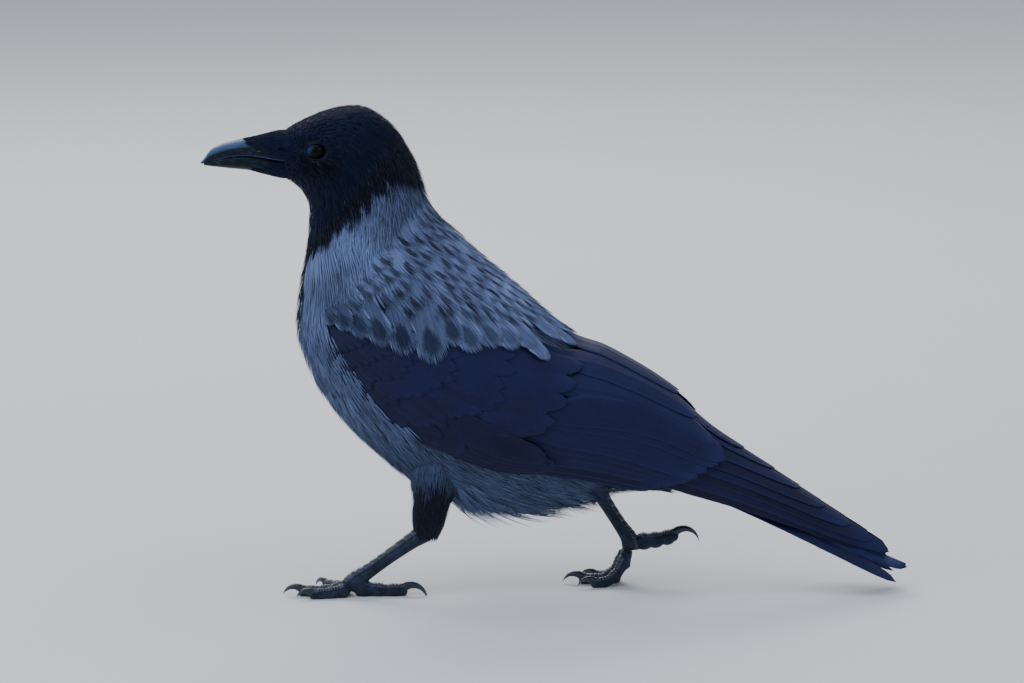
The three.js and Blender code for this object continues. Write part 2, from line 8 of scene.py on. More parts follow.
import bpy
import numpy as np
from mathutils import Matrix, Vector


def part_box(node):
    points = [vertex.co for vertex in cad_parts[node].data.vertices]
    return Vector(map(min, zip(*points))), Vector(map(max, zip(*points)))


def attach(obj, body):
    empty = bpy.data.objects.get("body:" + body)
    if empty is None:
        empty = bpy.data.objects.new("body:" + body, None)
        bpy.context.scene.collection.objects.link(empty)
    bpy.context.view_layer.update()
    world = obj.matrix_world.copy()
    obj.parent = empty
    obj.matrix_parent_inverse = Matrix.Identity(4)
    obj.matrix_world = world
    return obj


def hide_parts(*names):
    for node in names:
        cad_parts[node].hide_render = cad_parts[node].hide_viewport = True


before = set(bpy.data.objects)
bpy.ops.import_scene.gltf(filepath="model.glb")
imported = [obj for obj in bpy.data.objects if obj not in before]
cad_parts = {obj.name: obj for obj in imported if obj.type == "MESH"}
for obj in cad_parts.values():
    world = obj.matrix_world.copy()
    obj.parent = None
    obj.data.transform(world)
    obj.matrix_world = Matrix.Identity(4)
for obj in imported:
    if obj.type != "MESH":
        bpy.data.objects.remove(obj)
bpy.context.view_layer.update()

# ---------------------------------------------------------------- sizes of the bird

FULLNESS = 0.94  # of a ring: 1 is an ellipse, less is squarer
LEFT, RIGHT = -1, 1
SIDES = {"left": LEFT, "right": RIGHT}

# Rings of the body, from the face to the root of the tail: x and z of the point on the
# back, x and z of the point below it, and half the width.
BODY = [
    [46, 256.2, 45.9, 230, 9], [51.5, 259.6, 49.5, 228, 13.6], [58.5, 263.1, 53.5, 225, 16.8],
    [67, 266.6, 56.5, 221.2, 19], [77, 269.3, 58.8, 216.8, 20.8], [88, 269.7, 59.6, 211.6, 22],
    [98, 265.3, 59.2, 206, 22.8], [106.5, 258, 58.8, 200, 23.6], [113.5, 247.5, 58.2, 193.5, 25],
    [118.8, 238, 57, 186, 27.6], [122.8, 226, 54.5, 174, 31.5], [126, 215.6, 52.4, 158.5, 36.5],
    [129.4, 207.2, 52.2, 142, 41], [132.8, 202.8, 57.8, 126.5, 44.5],
    [137.2, 199, 66.5, 109.5, 46.6], [146.5, 192.3, 79.5, 92.6, 48],
    [160, 181.5, 96.5, 76.5, 48.8], [175, 169, 115.5, 61, 48.6], [190, 155, 137, 50.5, 46.8],
    [205, 140.5, 158, 45.5, 43], [219, 128.6, 180, 45.5, 37.5], [233, 116.6, 201, 51, 31],
    [246, 105.4, 220, 54.5, 24.5], [258, 94, 240, 54.5, 18.5], [269, 83, 258, 53, 13.5],
]

# The surface that the folded wings lie in, from the wrist to past the wing tips.
FOLD = [
    [126, 219, 48, 158, 37.5], [130, 210, 48, 141, 44], [134.5, 205, 53, 124, 48.6],
    [139, 201.5, 63, 106, 50.6], [147, 193, 76, 88.5, 52], [160, 181.8, 93.5, 72, 52.6],
    [174.8, 169.2, 113, 57, 52.2], [190, 155.6, 135, 46.5, 50.4],
    [205.4, 143.6, 157, 42, 47.2], [221, 137.6, 180, 41, 43.4], [235.5, 129.6, 203, 41, 39.2],
    [250, 120.4, 223, 40, 35], [265, 109, 243, 38.5, 31], [281.5, 94, 264, 35.5, 27.4],
    [299, 81.6, 285, 31.5, 24], [319, 68.4, 308, 26, 20.6], [339.4, 55, 331, 19.5, 17],
    [359.6, 42.2, 353, 13, 13.4], [379, 30.4, 373, 8, 9], [396, 19, 391, 3, 6],
]

# How deep the skin lies under the outline of the feathers, ring by ring.
COAT_DEPTH = [0.7, 0.9, 1.2, 1.4, 1.6, 1.9, 2.3, 2.8, 3.3, 3.8, 4.2, 4.6, 5, 5, 5, 5, 5, 5,
              5, 5, 4.6, 4.2, 3.6, 3, 2.4]

EYE = {"x": 63.6, "y": 11.6, "z": 246.4, "radius": 6.3}
LID = {"half_length": 5.5, "half_height": 4.1}

BILL_LENGTH = 45.4
BILL_HALF_WIDTH = 8.2
CULMEN = [238.4, 245.2, 248.3, 250, 251.3, 252, 252.5, 252.9, 253.2]
CUTTING_EDGE = [237.6, 239, 240.4, 241.6, 242.2, 242, 241.2, 240.2, 239.2]
LOWER_EDGE = [237, 236.2, 235.6, 235, 234.5, 233.9, 232.8, 231.7, 230.8]
BILL_ROOT = 1.2  # how far the bill runs on inside the head, as a share of its length

# Swellings and hollows of the face, from the side: x, z, reach in x and in z, and height.
FACE_RELIEF = [
    [EYE["x"], EYE["z"], 9.5, 7.5, -1.5],  # the hollow round the eye
    [62, 255.5, 9, 3.2, 0.6],  # the brow
    [76, 236, 12, 9, 0.7],  # the cheek
    [53, 246, 4, 5, -0.8],  # between the eye and the bill
]
TILT = math.radians(9)  # how far above level the bird is seen from

shift_x = (sum(c.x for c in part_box("eye_left")) / 2) * 1000 - EYE["x"]


def place_in_frame(points):
    """Points in the bird's millimetres, in the row frame in metres."""
    moved = np.array(points, float).reshape(-1, 3) + (shift_x, 0, 0)
    return moved / 1000


def mix(a, b, t):
    """The value at share t of the way from a to b."""
    return a + (b - a) * t


def unit(v):
    """Directions, each with a length of 1."""
    return v / np.maximum(np.linalg.norm(v, axis=-1, keepdims=True), 1e-9)


def smooth_at(values, place):
    """Smooth values between the evenly spaced rows of a list."""
    values = np.asarray(values, float)
    last = len(values) - 1
    index = np.clip(np.floor(place).astype(int), 0, last - 1)
    t = np.asarray(place) - index
    if values.ndim > 1:
        t = t[..., None]
    a, b, c, d = (values[np.clip(index + k, 0, last)] for k in (-1, 0, 1, 2))
    cubic = -a + 3 * b - 3 * c + d
    square = 2 * a - 5 * b + 4 * c - d
    return 0.5 * (2 * b + (c - a) * t + square * t * t + cubic * t ** 3)


def step_up(value, low, high):
    """0 below a value, 1 above another, and smooth in between."""
    t = np.clip((value - low) / (high - low), 0, 1)
    return t * t * (3 - 2 * t)


def mound(x, z, middle_x, middle_z, long, high):
    """1 at a point of the side view, and less and less round it."""
    return np.exp(-((x - middle_x) / long) ** 2 - ((z - middle_z) / high) ** 2)


def line_at(table, x):
    """Values at x, from rows of x and value."""
    return np.interp(x, *np.array(table, float).T)


def grid(rows, columns):
    """The row value and the column value at each point of a grid."""
    return np.meshgrid(rows, columns, indexing="ij")


# ---------------------------------------------------------------- surfaces that feathers lie on


class Surface:
    """A surface with a place along it and an angle round it, open at both ends. Each kind
    gives its points by inner()."""

    last = 1

    def point(self, place, angle):
        place = np.asarray(place, float)
        held = np.clip(place, 0, self.last)
        over = place - held
        points = self.inner(held, angle)
        if np.any(over != 0):
            bit = 0.02
            inward = held - np.sign(over) * bit
            slope = (points - self.inner(inward, angle)) / bit
            points = points + slope * np.abs(over)[..., None]
        return points

    def spread(self, place, angle):
        """Point, steps along and round, and the normal that faces out."""
        bit = 1e-3
        points = self.point(place, angle)
        along = (self.point(place + bit, angle) - self.point(place - bit, angle)) / (2 * bit)
        around = (self.point(place, angle + bit) - self.point(place, angle - bit)) / (2 * bit)
        return points, along, around, unit(np.cross(along, around))

    def step(self, along, around, travel):
        """The change of place and angle that moves by a vector."""
        aa = np.sum(along * along, -1)
        bb = np.sum(around * around, -1)
        ab = np.sum(along * around, -1)
        ta = np.sum(along * travel, -1)
        tb = np.sum(around * travel, -1)
        det = np.maximum(aa * bb - ab * ab, 1e-9)
        return (ta * bb - tb * ab) / det, (tb * aa - ta * ab) / det


class Loft(Surface):
    """Upright rings: angle 0 is on the back, and it is positive on the bird's right."""

    def __init__(self, rows, relief=None):
        self.rows = np.array(rows, float)
        self.last = len(rows) - 1
        self.relief = relief

    def ring(self, place):
        v = smooth_at(self.rows, place)
        back, front = v[..., 0:2], v[..., 2:4]
        up = back - front
        length = np.linalg.norm(up, axis=-1)
        return (back + front) / 2, up / length[..., None], length / 2, v[..., 4]

    def inner(self, place, angle):
        centre, up, depth, half = self.ring(place)
        cosine, sine = np.cos(angle), np.sin(angle)
        along = np.sign(cosine) * np.abs(cosine) ** FULLNESS * depth
        across = np.sign(sine) * np.abs(sine) ** FULLNESS * half
        x = centre[..., 0] + up[..., 0] * along
        z = centre[..., 1] + up[..., 1] * along
        if self.relief is not None:
            across = across + np.sign(across) * self.relief(x, np.abs(across), z)
        return np.stack([x, across, z], -1)

    def locate(self, x, z, nearest=0.06):
        """Place and angle of a point of the side view."""
        low, high = 0.0, float(self.last)
        for _ in range(30):
            middle = (low + high) / 2
            centre, up, _, _ = self.ring(np.array(middle))
            if (x - centre[0]) * up[1] - (z - centre[1]) * up[0] > 0:
                low = middle
            else:
                high = middle
        centre, up, depth, _ = self.ring(np.array(low))
        cosine = np.clip(((x - centre[0]) * up[0] + (z - centre[1]) * up[1]) / depth, -1, 1)
        cosine = np.sign(cosine) * abs(cosine) ** (1 / FULLNESS)
        return low, max(math.acos(cosine), nearest)


class Limb(Surface):
    """A round limb along joints, each with its own radius. Angle 0 is its upper side."""

    def __init__(self, joints, floor=False):
        self.joints = np.array(joints, float)
        self.last = len(joints) - 1
        self.floor = floor
        travel = self.joints[-1, :3] - self.joints[0, :3]
        self.across = np.cross([0, 0, 1.0], travel)

    def inner(self, place, angle):
        bit = 0.01
        v = smooth_at(self.joints, place)
        ahead = smooth_at(self.joints, np.minimum(place + bit, self.last))[..., :3]
        behind = smooth_at(self.joints, np.maximum(place - bit, 0))[..., :3]
        along = unit(ahead - behind)
        side = unit(self.across - along * np.sum(along * self.across, -1, keepdims=True))
        up = np.cross(along, side)
        angle = np.asarray(angle)[..., None]
        spoke = side * np.sin(angle) + up * np.cos(angle)
        points = v[..., :3] + spoke * v[..., 3:4]
        if self.floor:
            points[..., 2] = np.maximum(points[..., 2], 0)
        return points


def head_relief(x, y, z):
    """How far the sides of the head stand out past its rings."""
    swell = sum(height * mound(x, z, *where) for *where, height in FACE_RELIEF)
    return swell * step_up(y, 3, 8)


body = Loft(BODY, head_relief)
fold = Loft(FOLD)

# ---------------------------------------------------------------- meshes


def new_piece(name, points, faces, values=None, patch=None):
    """An object from points in the bird's millimetres. Faces is a list of index arrays,
    each with as many columns as its faces have corners. Values are attributes, and patch
    is the place on the bake sheet, both point by point."""
    mesh = bpy.data.meshes.new(name)
    points = place_in_frame(points)
    mesh.vertices.add(len(points))
    mesh.vertices.foreach_set("co", points.astype(np.float32).ravel())
    sizes = np.concatenate([np.full(len(f), f.shape[1]) for f in faces])
    corners = np.concatenate([f.ravel() for f in faces])
    mesh.loops.add(len(corners))
    mesh.loops.foreach_set("vertex_index", corners.astype(np.int32))
    mesh.polygons.add(len(sizes))
    starts = np.concatenate([[0], np.cumsum(sizes)[:-1]])
    mesh.polygons.foreach_set("loop_start", starts.astype(np.int32))
    mesh.polygons.foreach_set("loop_total", sizes.astype(np.int32))
    mesh.polygons.foreach_set("use_smooth", np.full(len(sizes), True))
    mesh.update(calc_edges=True)
    for key, data in (values or {}).items():
        attribute = mesh.attributes.new(key, "FLOAT", "POINT")
        attribute.data.foreach_set("value", np.asarray(data, np.float32).ravel())
    if patch is not None:
        layer = mesh.uv_layers.new(name="OFBake")
        layer.data.foreach_set("uv", patch[corners].astype(np.float32).ravel())
    piece = bpy.data.objects.new(name, mesh)
    bpy.context.scene.collection.objects.link(piece)
    return piece


class Pile:
    """Closed shapes of one piece, gathered before its mesh is made."""

    def __init__(self):
        self.points, self.faces, self.values, self.patches = [], {}, {}, []
        self.count = 0

    def add(self, points, faces, values, patch):
        self.points.append(points.reshape(-1, 3))
        for f in faces:
            self.faces.setdefault(f.shape[1], []).append(f + self.count)
        for key, data in values.items():
            self.values.setdefault(key, []).append(np.asarray(data, float).ravel())
        self.patches.append(patch.reshape(-1, 2))
        self.count += len(self.points[-1])

    def piece(self, name):
        faces = [np.concatenate(fs) for fs in self.faces.values()]
        values = {key: np.concatenate(data) for key, data in self.values.items()}
        return new_piece(name, np.concatenate(self.points), faces, values,
                         np.concatenate(self.patches))


def joined(parts):
    """Points and quads of several parts as one."""
    points, faces, count = [], [], 0
    for part_points, quads in parts:
        points.append(part_points.reshape(-1, 3))
        faces.append(quads + count)
        count += len(points[-1])
    return np.concatenate(points), np.concatenate(faces)


def tube_faces(rows, count, cap=True):
    """Quads between closed loops of points, row after row, and over both ends."""
    r, j = grid(np.arange(rows - 1), np.arange(count))
    n = (j + 1) % count
    quads = np.stack([r * count + j, (r + 1) * count + j, (r + 1) * count + n,
                      r * count + n], -1).reshape(-1, 4)
    if not cap:
        return quads
    k = np.arange(count // 2 - 1)
    first = np.stack([k, k + 1, count - 2 - k, count - 1 - k], -1)
    return np.concatenate([quads, first, (rows - 1) * count + first[:, ::-1]])


def sheet_faces(rows, columns, sheets=1):
    """Quads and end triangles of thin closed sheets: a row's points are its upper side and
    then, back the other way, its under side."""
    count = 2 * columns - 2
    k = np.arange(1, columns - 2)
    squares = np.stack([k, k + 1, count - k - 1, count - k], -1)
    threes = np.array([[0, 1, count - 1], [columns - 2, columns - 1, columns]])
    end = (rows - 1) * count
    quads = np.concatenate([tube_faces(rows, count, cap=False), squares,
                            end + squares[:, ::-1]])
    threes = np.concatenate([threes, end + threes[:, ::-1]])
    jump = np.arange(sheets)[:, None, None] * rows * count
    return (quads[None] + jump).reshape(-1, 4), (threes[None] + jump).reshape(-1, 3)


# ---------------------------------------------------------------- markings

# The lower edge of the black hood, seen from the side and a little above, from the
# throat to the nape: x, and height after the tilt.
HOOD_EDGE = [
    [40, 190], [57, 191], [62, 186], [66, 180], [70.5, 183], [74, 188], [79, 192],
    [85, 194], [88, 199], [92, 204.5], [97, 209], [104, 212], [110, 213], [117, 214],
    [126, 212],
]
HOOD_BLUR = 0.8  # half the width of the change from black to grey
BIB = [[122, 0], [134, 12], [160, 18], [185, 21], [200, 24]]  # height, and half its width
BIB_BACK = 84  # x that the bib stays in front of
HOOD_WANDER, BIB_WANDER = 4.0, 3.0  # how far their edges move for a raggedness of 1


def tilted_height(points):
    """How high points stand in a view from TILT above level."""
    return points[..., 2] * math.cos(TILT) - np.abs(points[..., 1]) * math.sin(TILT)


def hood(points, ragged=0.0):
    """1 where the plumage is black, from the head to the bib, and 0 where it is grey. Each
    point may have its own raggedness, which moves the edge there."""
    over = tilted_height(points) - line_at(HOOD_EDGE, points[..., 0]) + ragged * HOOD_WANDER
    black = step_up(over, -HOOD_BLUR, HOOD_BLUR)
    within = line_at(BIB, points[..., 2]) + ragged * BIB_WANDER - np.abs(points[..., 1])
    bib = step_up(within, -HOOD_BLUR, HOOD_BLUR) * (points[..., 0] < BIB_BACK)
    return np.maximum(black, bib)


def by_hood(points, ragged):
    """Black where the hood lies, for feathers with tips at these points."""
    return hood(points, ragged * 0.55)


def all_grey(points, ragged):
    """The same for feathers that are grey everywhere."""
    return np.zeros(len(points))


def all_black(points, ragged):
    """The same for feathers that are black everywhere."""
    return np.ones(len(points))


# ---------------------------------------------------------------- feathers

FEATHER_BEND = 30  # radius that a soft feather bends down to its sides with
BAKE_MARGIN = 0.01  # of the bake sheet, at its edges
BAKE_LENGTH, BAKE_WIDTH = 0.003, 0.0015  # of the bake sheet, for one feather


def each(value, count):
    """A value for each of a number of feathers, from one value or from a list."""
    return np.broadcast_to(np.asarray(value, float), (count,))


def axes(along, normal):
    """The directions along a surface and across it."""
    forward = unit(along)
    return forward, np.cross(normal, forward)


def march(surface, place, angle, heading, length, steps=8):
    """Walks from each root over the surface. Gives the points, directions, normals, places
    and angles of each walk."""
    place, angle = np.array(place, float), np.array(angle, float)
    walk = []
    for _ in range(steps + 1):
        point, along, around, normal = surface.spread(place, angle)
        forward, across = axes(along, normal)
        travel = forward * np.cos(heading)[:, None] + across * np.sin(heading)[:, None]
        walk.append((point, travel, normal, place, angle))
        dp, da = surface.step(along, around, travel * (length / steps)[:, None])
        place, angle = place + dp, angle + da
    return [np.stack(v, 1) for v in zip(*walk)]


def aim(surface, place, angle, way):
    """The heading at which a feather points in a direction, once that lies on the surface."""
    _, along, _, normal = surface.spread(place, angle)
    forward, across = axes(along, normal)
    return np.arctan2(np.sum(way * across, -1), np.sum(way * forward, -1))


def along_path(values, share):
    """Values at shares of their paths; values are (paths, steps, 3)."""
    steps = values.shape[1] - 1
    at = np.clip(share, 0, 1) * steps
    index = np.minimum(at.astype(int), steps - 1)
    t = (at - index)[..., None]
    rows = np.arange(len(values))[:, None, None]
    return values[rows, index] * (1 - t) + values[rows, index + 1] * t


def bake_patch(surface, place, angle, along, across):
    """A small patch of the bake sheet for each feather, where its root lies."""
    inner = 1 - 2 * BAKE_MARGIN
    u = place / surface.last * inner + BAKE_MARGIN + (along - 0.5) * BAKE_LENGTH
    turn = (angle / (2 * np.pi) + 0.5) % 1.0
    v = turn * inner + BAKE_MARGIN + np.clip(across, -1, 1) * BAKE_WIDTH
    return np.stack([u, v], -1)


def strand_faces(rows, strands):
    """Quads and end triangles of three-sided strands that run out to a point."""
    r = np.arange(rows - 1) * 3
    quads = np.concatenate([np.stack([r + a, r + a + 3, r + b + 3, r + b], -1)
                            for a, b in ((0, 1), (1, 2), (2, 0))])
    end, tip = 3 * (rows - 1), 3 * rows
    threes = np.array([[0, 1, 2], [end, tip, end + 1], [end + 1, tip, end + 2],
                       [end + 2, tip, end]])
    jump = (np.arange(strands) * (tip + 1))[:, None, None]
    return [(quads[None] + jump).reshape(-1, 4), (threes[None] + jump).reshape(-1, 3)]


def add_plumes(pile, surface, place, angle, *, length, width, heading=0.0, root_lift,
               tip_lift, rise=0.8, strands, rows=3, strand_width, ridge=0.1, roll,
               streak=0.0, dark=0.0, light=0.0, marks=by_hood, seed, spread_power=0.75,
               apart=0.0, pointed, tip_curl=0.0, fray=0.05, uneven=0.1):
    """Feathers as fans of narrow strands. strands is a list of (start, end, offset): the
    share of the shaft where a strand leaves it, where it ends, and how far to a side.
    apart is the share of that offset which a strand already has at its start."""
    rng = np.random.default_rng(seed)
    strands = np.array(strands, float)
    n, k = len(place), len(strands)
    length, width, root_lift, tip_lift = (
        each(v, n)[:, None, None] for v in (length, width, root_lift, tip_lift))
    points, tangents, normals, _, _ = march(surface, place, angle, each(heading, n),
                                            length[:, 0, 0])
    tau = np.linspace(0, 1, rows + 1)
    start = strands[:, 0] * np.ones((n, k))
    end = strands[:, 1] * (1 + rng.normal(0, fray, (n, k)))
    share = start[..., None] + (end - start)[..., None] * tau
    offset = strands[:, 2] + rng.normal(0, 1.6 * fray, (n, k))
    opened = apart + (1 - apart) * tau ** spread_power
    lateral = offset[..., None] * opened * (width / 2)
    tangent = unit(along_path(tangents, share))
    normal = unit(along_path(normals, share))
    side = np.cross(normal, tangent)
    past_end = (np.clip(share - 1, 0, 1) * length)[..., None]
    lift = root_lift + (tip_lift - root_lift) * share ** rise
    lift = lift + rng.normal(0, 0.12, (n, k))[..., None] * tau
    lift = lift + tip_curl * np.clip(share - 0.6, 0, 1) ** 2
    lift = lift - lateral ** 2 / (2 * FEATHER_BEND)
    centre = (along_path(points, share) + tangent * past_end + side * lateral[..., None]
              + normal * lift[..., None])
    rolled = (rng.normal(0, roll, (n, k)) + 0.25 * offset)[..., None, None]
    cross = side * np.cos(rolled) - normal * np.sin(rolled)
    narrow = (0.45 + 0.55 * np.minimum(tau * 3, 1)) * (1 - tau ** pointed)
    half = (strand_width * rng.uniform(0.8, 1.2, (n, k))[..., None] * narrow)[..., None]
    top = centre + normal * (ridge * (0.3 + 0.7 * narrow))[..., None]
    loops = np.stack([centre - cross * half, top, centre + cross * half], 3)[:, :, :rows]
    vertices = np.concatenate([loops.reshape(n, k, rows * 3, 3), centre[:, :, rows:]], 2)

    def per_vertex(rowwise):
        """A value for each row of each strand, as one for each vertex."""
        rowwise = np.broadcast_to(rowwise, (n, k, rows + 1))
        return np.concatenate([np.repeat(rowwise[:, :, :rows], 3, axis=2),
                               rowwise[:, :, rows:]], 2)

    black = marks(points[:, -1], rng.normal(0, 1, n))
    # shade: a random tone for each feather and strand, plus the painted light and shade of its
    # part
    shade = (rng.uniform(0, 1, n) + light)[:, None, None] + rng.normal(0, uneven, (n, k, 1))
    values = {"along": share, "across": lateral / np.maximum(width / 2, 0.1),
              "reach": share * length, "shade": shade, "hood": black[:, None, None],
              "streak": each(streak, n)[:, None, None], "dark": each(dark, n)[:, None, None]}
    values = {key: per_vertex(rowwise) for key, rowwise in values.items()}
    patch = bake_patch(surface, place[:, None, None], angle[:, None, None],
                       values["along"], values["across"])
    pile.add(vertices, strand_faces(rows, n * k), values, patch)


# Where the points of a flat feather lie across it, as shares of its half width.
VANE_COLUMNS = np.array([-1, -0.86, -0.6, -0.3, -0.07, 0, 0.07, 0.3, 0.6, 0.86, 1])
VANE_BASE = 0.18  # share of its width that a flat feather has at its root
VANE_WOBBLE = 0.03  # how much of its width an edge comes and goes
SHAFT_HEIGHT = 0.35  # how far a shaft stands over its vanes at the root


def add_vanes(pile, surface, paths, *, upper, lower, side, lift, rows, tip, seed, thick=0.45,
              camber=0.6, light=0.0):
    """Flat feathers along paths over a surface. Each path is (places, angles) from root to
    tip; upper and lower are the widths of its two vanes, and lift is a pair, root and tip."""
    rng = np.random.default_rng(seed)
    n, columns = len(paths), VANE_COLUMNS
    upper, lower, light, root, end = (
        each(v, n)[:, None] for v in (upper, lower, light, *lift))
    share = np.linspace(0, 1, rows) ** 0.9  # of the way out, row by row
    places, angles = (
        np.stack([np.interp(share, np.linspace(0, 1, len(v)), v) for v in lines])
        for lines in zip(*paths))
    angles = angles * side
    shaft, along, around, normal = surface.spread(places, angles)
    sideways = np.cross(normal, unit(np.gradient(shaft, axis=1)))
    width = VANE_BASE + (1 - VANE_BASE) * step_up(share, 0, 0.3)
    width = np.maximum(width * np.clip(1 - share ** tip, 0, 1) ** 0.5, 0.012)
    vane = np.where(columns * side > 0, lower, upper)
    wobble = 1 - VANE_WOBBLE * rng.uniform(0, 1, (n, rows, 2))
    edge = np.where(columns < 0, wobble[..., :1], wobble[..., 1:])
    fade = np.abs(columns) ** 2
    aside = columns * vane[:, None, :] * width[None, :, None] * (1 + (edge - 1) * fade)
    dp, da = surface.step(along[:, :, None], around[:, :, None],
                          sideways[:, :, None] * aside[..., None])
    points = surface.point(places[:, :, None] + dp, angles[:, :, None] + da)
    height = mix(root, end, share ** 0.8)[..., None] - camber * columns ** 2
    height = height + SHAFT_HEIGHT * (1 - 0.8 * share[:, None]) * (columns == 0)
    height = height + rng.normal(0, 0.05, (n, rows, len(columns))) * fade
    outward = normal[:, :, None]
    top = points + outward * height[..., None]
    thin = thick * (1 - 0.6 * share[:, None] ** 2) * (1 - 0.35 * fade)
    under = top - outward * thin[..., None]
    loops = np.concatenate([top, under[:, :, -2:0:-1]], 2)

    def per_vertex(value):
        """A value for each point of the upper side, as one for each vertex."""
        value = np.broadcast_to(value, (n, rows, len(columns)))
        return np.concatenate([value, value[:, :, -2:0:-1]], 2)

    span = np.linalg.norm(np.diff(shaft, axis=1), axis=-1)
    reach = np.concatenate([np.zeros((n, 1)), np.cumsum(span, 1)], 1)
    # shade: a random tone for each feather, plus the painted light and shade of its part
    shade = rng.uniform(0, 1, (n, 1, 1)) + light[..., None]
    values = {"along": share[:, None], "across": columns, "reach": reach[..., None],
              "shade": shade, "hood": 1, "streak": 0, "dark": 0}
    values = {key: per_vertex(value) for key, value in values.items()}
    patch = bake_patch(surface, places[:, :1, None], angles[:, :1, None], values["along"],
                       values["across"])
    pile.add(loops, sheet_faces(rows, len(columns), n), values, patch)


def rounded_fan(count):
    """The strands of a soft rounded feather, as add_plumes takes them."""
    out = np.linspace(-1, 1, count)
    return np.stack([0.2 * np.abs(out), 0.74 + 0.26 * np.sqrt(1 - out ** 2), out], -1)


def add_contour(pile, surface, place, angle, *, length, heading, lift, **more):
    """Soft grey feathers, given by where their tips lie and which way they point."""
    *_, places, angles = march(surface, place, angle, heading + np.pi,
                               each(length, len(place)), steps=10)
    settings = {"strands": rounded_fan(11), "rows": 4, "strand_width": 0.75, "roll": 0.06,
                "spread_power": 0.6, "apart": 0.55, "pointed": 3.0, "uneven": 0.06,
                "rise": 0.7, "marks": all_grey}
    add_plumes(pile, surface, places[:, -1], angles[:, -1], length=length, heading=heading,
               root_lift=lift[0], tip_lift=lift[1], **(settings | more))


def tiled(surface, first, last, along_gap, across_gap, side, seed, keep):
    """Places in staggered rows over one side of a surface, as the feathers of one tract
    grow."""
    rng = np.random.default_rng(seed)
    places, angles = [], []
    place, row = first, 0
    line = np.linspace(0, 2.4, 160)  # angles from the back down the side
    while place < last:
        points, along, _, _ = surface.spread(np.full(len(line), place), line)
        step = np.linalg.norm(np.diff(points, axis=0), axis=-1)
        arc = np.concatenate([[0], np.cumsum(step)])
        at = np.arange(0.5 * (row % 2), arc[-1] / across_gap) * across_gap
        at = at + rng.normal(0, 0.1 * across_gap, len(at))
        speed = np.linalg.norm(along[60])  # of the place, halfway down the side
        angles.append(np.interp(at, arc, line))
        places.append(place + rng.normal(0, 0.1 * along_gap / speed, len(at)))
        place, row = place + along_gap / speed / 2, row + 1
    place, angle = np.concatenate(places), np.concatenate(angles) * side
    kept = keep(place, angle)
    return place[kept], angle[kept]


def scatter(surface, first, last, spacing, seed, keep=None):
    """Roots spread evenly over a stretch of a surface, a spacing apart that may change
    from place to place."""
    rng = np.random.default_rng(seed)
    rows = np.linspace(first, last, 60)
    columns = np.linspace(-np.pi, np.pi, 72, endpoint=False)
    row_step, column_step = rows[1] - rows[0], columns[1] - columns[0]
    place, angle = grid(rows, columns)
    _, along, around, _ = surface.spread(place, angle)
    area = np.linalg.norm(np.cross(along, around), axis=-1)
    room = 0.72  # area for one root, as a share of its spacing squared
    tries = 14  # for each root that has room
    wanted = area * (row_step * column_step) / (room * spacing(place, angle) ** 2)
    count = int(wanted.sum() * tries)
    chosen = rng.choice(wanted.size, count, p=(wanted / wanted.sum()).ravel())
    place = place.ravel()[chosen] + (rng.random(count) - 0.5) * row_step
    angle = angle.ravel()[chosen] + (rng.random(count) - 0.5) * column_step
    place = np.clip(place, first, last)
    if keep is not None:
        kept = keep(place, angle)
        place, angle = place[kept], angle[kept]
    points = surface.point(place, angle)
    radius = spacing(place, angle)
    keys = np.floor(points / float(radius.max())).astype(int).tolist()
    points, radius = points.tolist(), radius.tolist()
    cells, chosen = {}, []
    for i, (x, y, z) in enumerate(keys):
        near = (other for kx in (x - 1, x, x + 1) for ky in (y - 1, y, y + 1)
                for kz in (z - 1, z, z + 1) for other in cells.get((kx, ky, kz), ()))
        if all(math.dist(points[i], points[other]) >= radius[i] for other in near):
            cells.setdefault((x, y, z), []).append(i)
            chosen.append(i)
    return place[chosen], angle[chosen]


# ---------------------------------------------------------------- shading


class Graph:
    """A small hand for wiring shader nodes."""

    def __init__(self, tree):
        self.tree = tree

    def add(self, kind, **settings):
        node = self.tree.nodes.new(kind)
        for key, value in settings.items():
            setattr(node, key, value)
        return node

    def feed(self, node, which, value):
        socket = node.inputs[which]
        if isinstance(value, bpy.types.NodeSocket):
            self.tree.links.new(value, socket)
        else:
            socket.default_value = value

    def math(self, operation, a, b=0.0, c=None, clamp=False):
        node = self.add("ShaderNodeMath", operation=operation, use_clamp=clamp)
        self.feed(node, 0, a)
        self.feed(node, 1, b)
        if c is not None:
            self.feed(node, 2, c)
        return node.outputs[0]

    def ramp(self, value, low, high, to_low=0.0, to_high=1.0):
        node = self.add("ShaderNodeMapRange", interpolation_type="SMOOTHSTEP")
        for key, v in enumerate((value, low, high, to_low, to_high)):
            self.feed(node, key, v)
        return node.outputs[0]

    def blend(self, share, a, b, kind="MIX"):
        node = self.add("ShaderNodeMix", data_type="RGBA", blend_type=kind)
        self.feed(node, 0, share)
        self.feed(node, 6, a)
        self.feed(node, 7, b)
        return node.outputs[2]

    def value_of(self, name):
        return self.add("ShaderNodeAttribute", attribute_name=name).outputs["Fac"]

    def noise(self, scale, detail=3.0, vector=None):
        node = self.add("ShaderNodeTexNoise")
        self.feed(node, "Scale", scale)
        self.feed(node, "Detail", detail)
        self.feed(node, "Vector", vector or self.object_place())
        return node.outputs["Fac"]

    def object_place(self):
        return self.add("ShaderNodeTexCoord").outputs["Object"]

    def darkened(self, color, level):
        """A colour times a level."""
        grey = self.add("ShaderNodeCombineColor")
        for k in range(3):
            self.feed(grey, k, level)
        return self.blend(1.0, color, grey.outputs[0], "MULTIPLY")


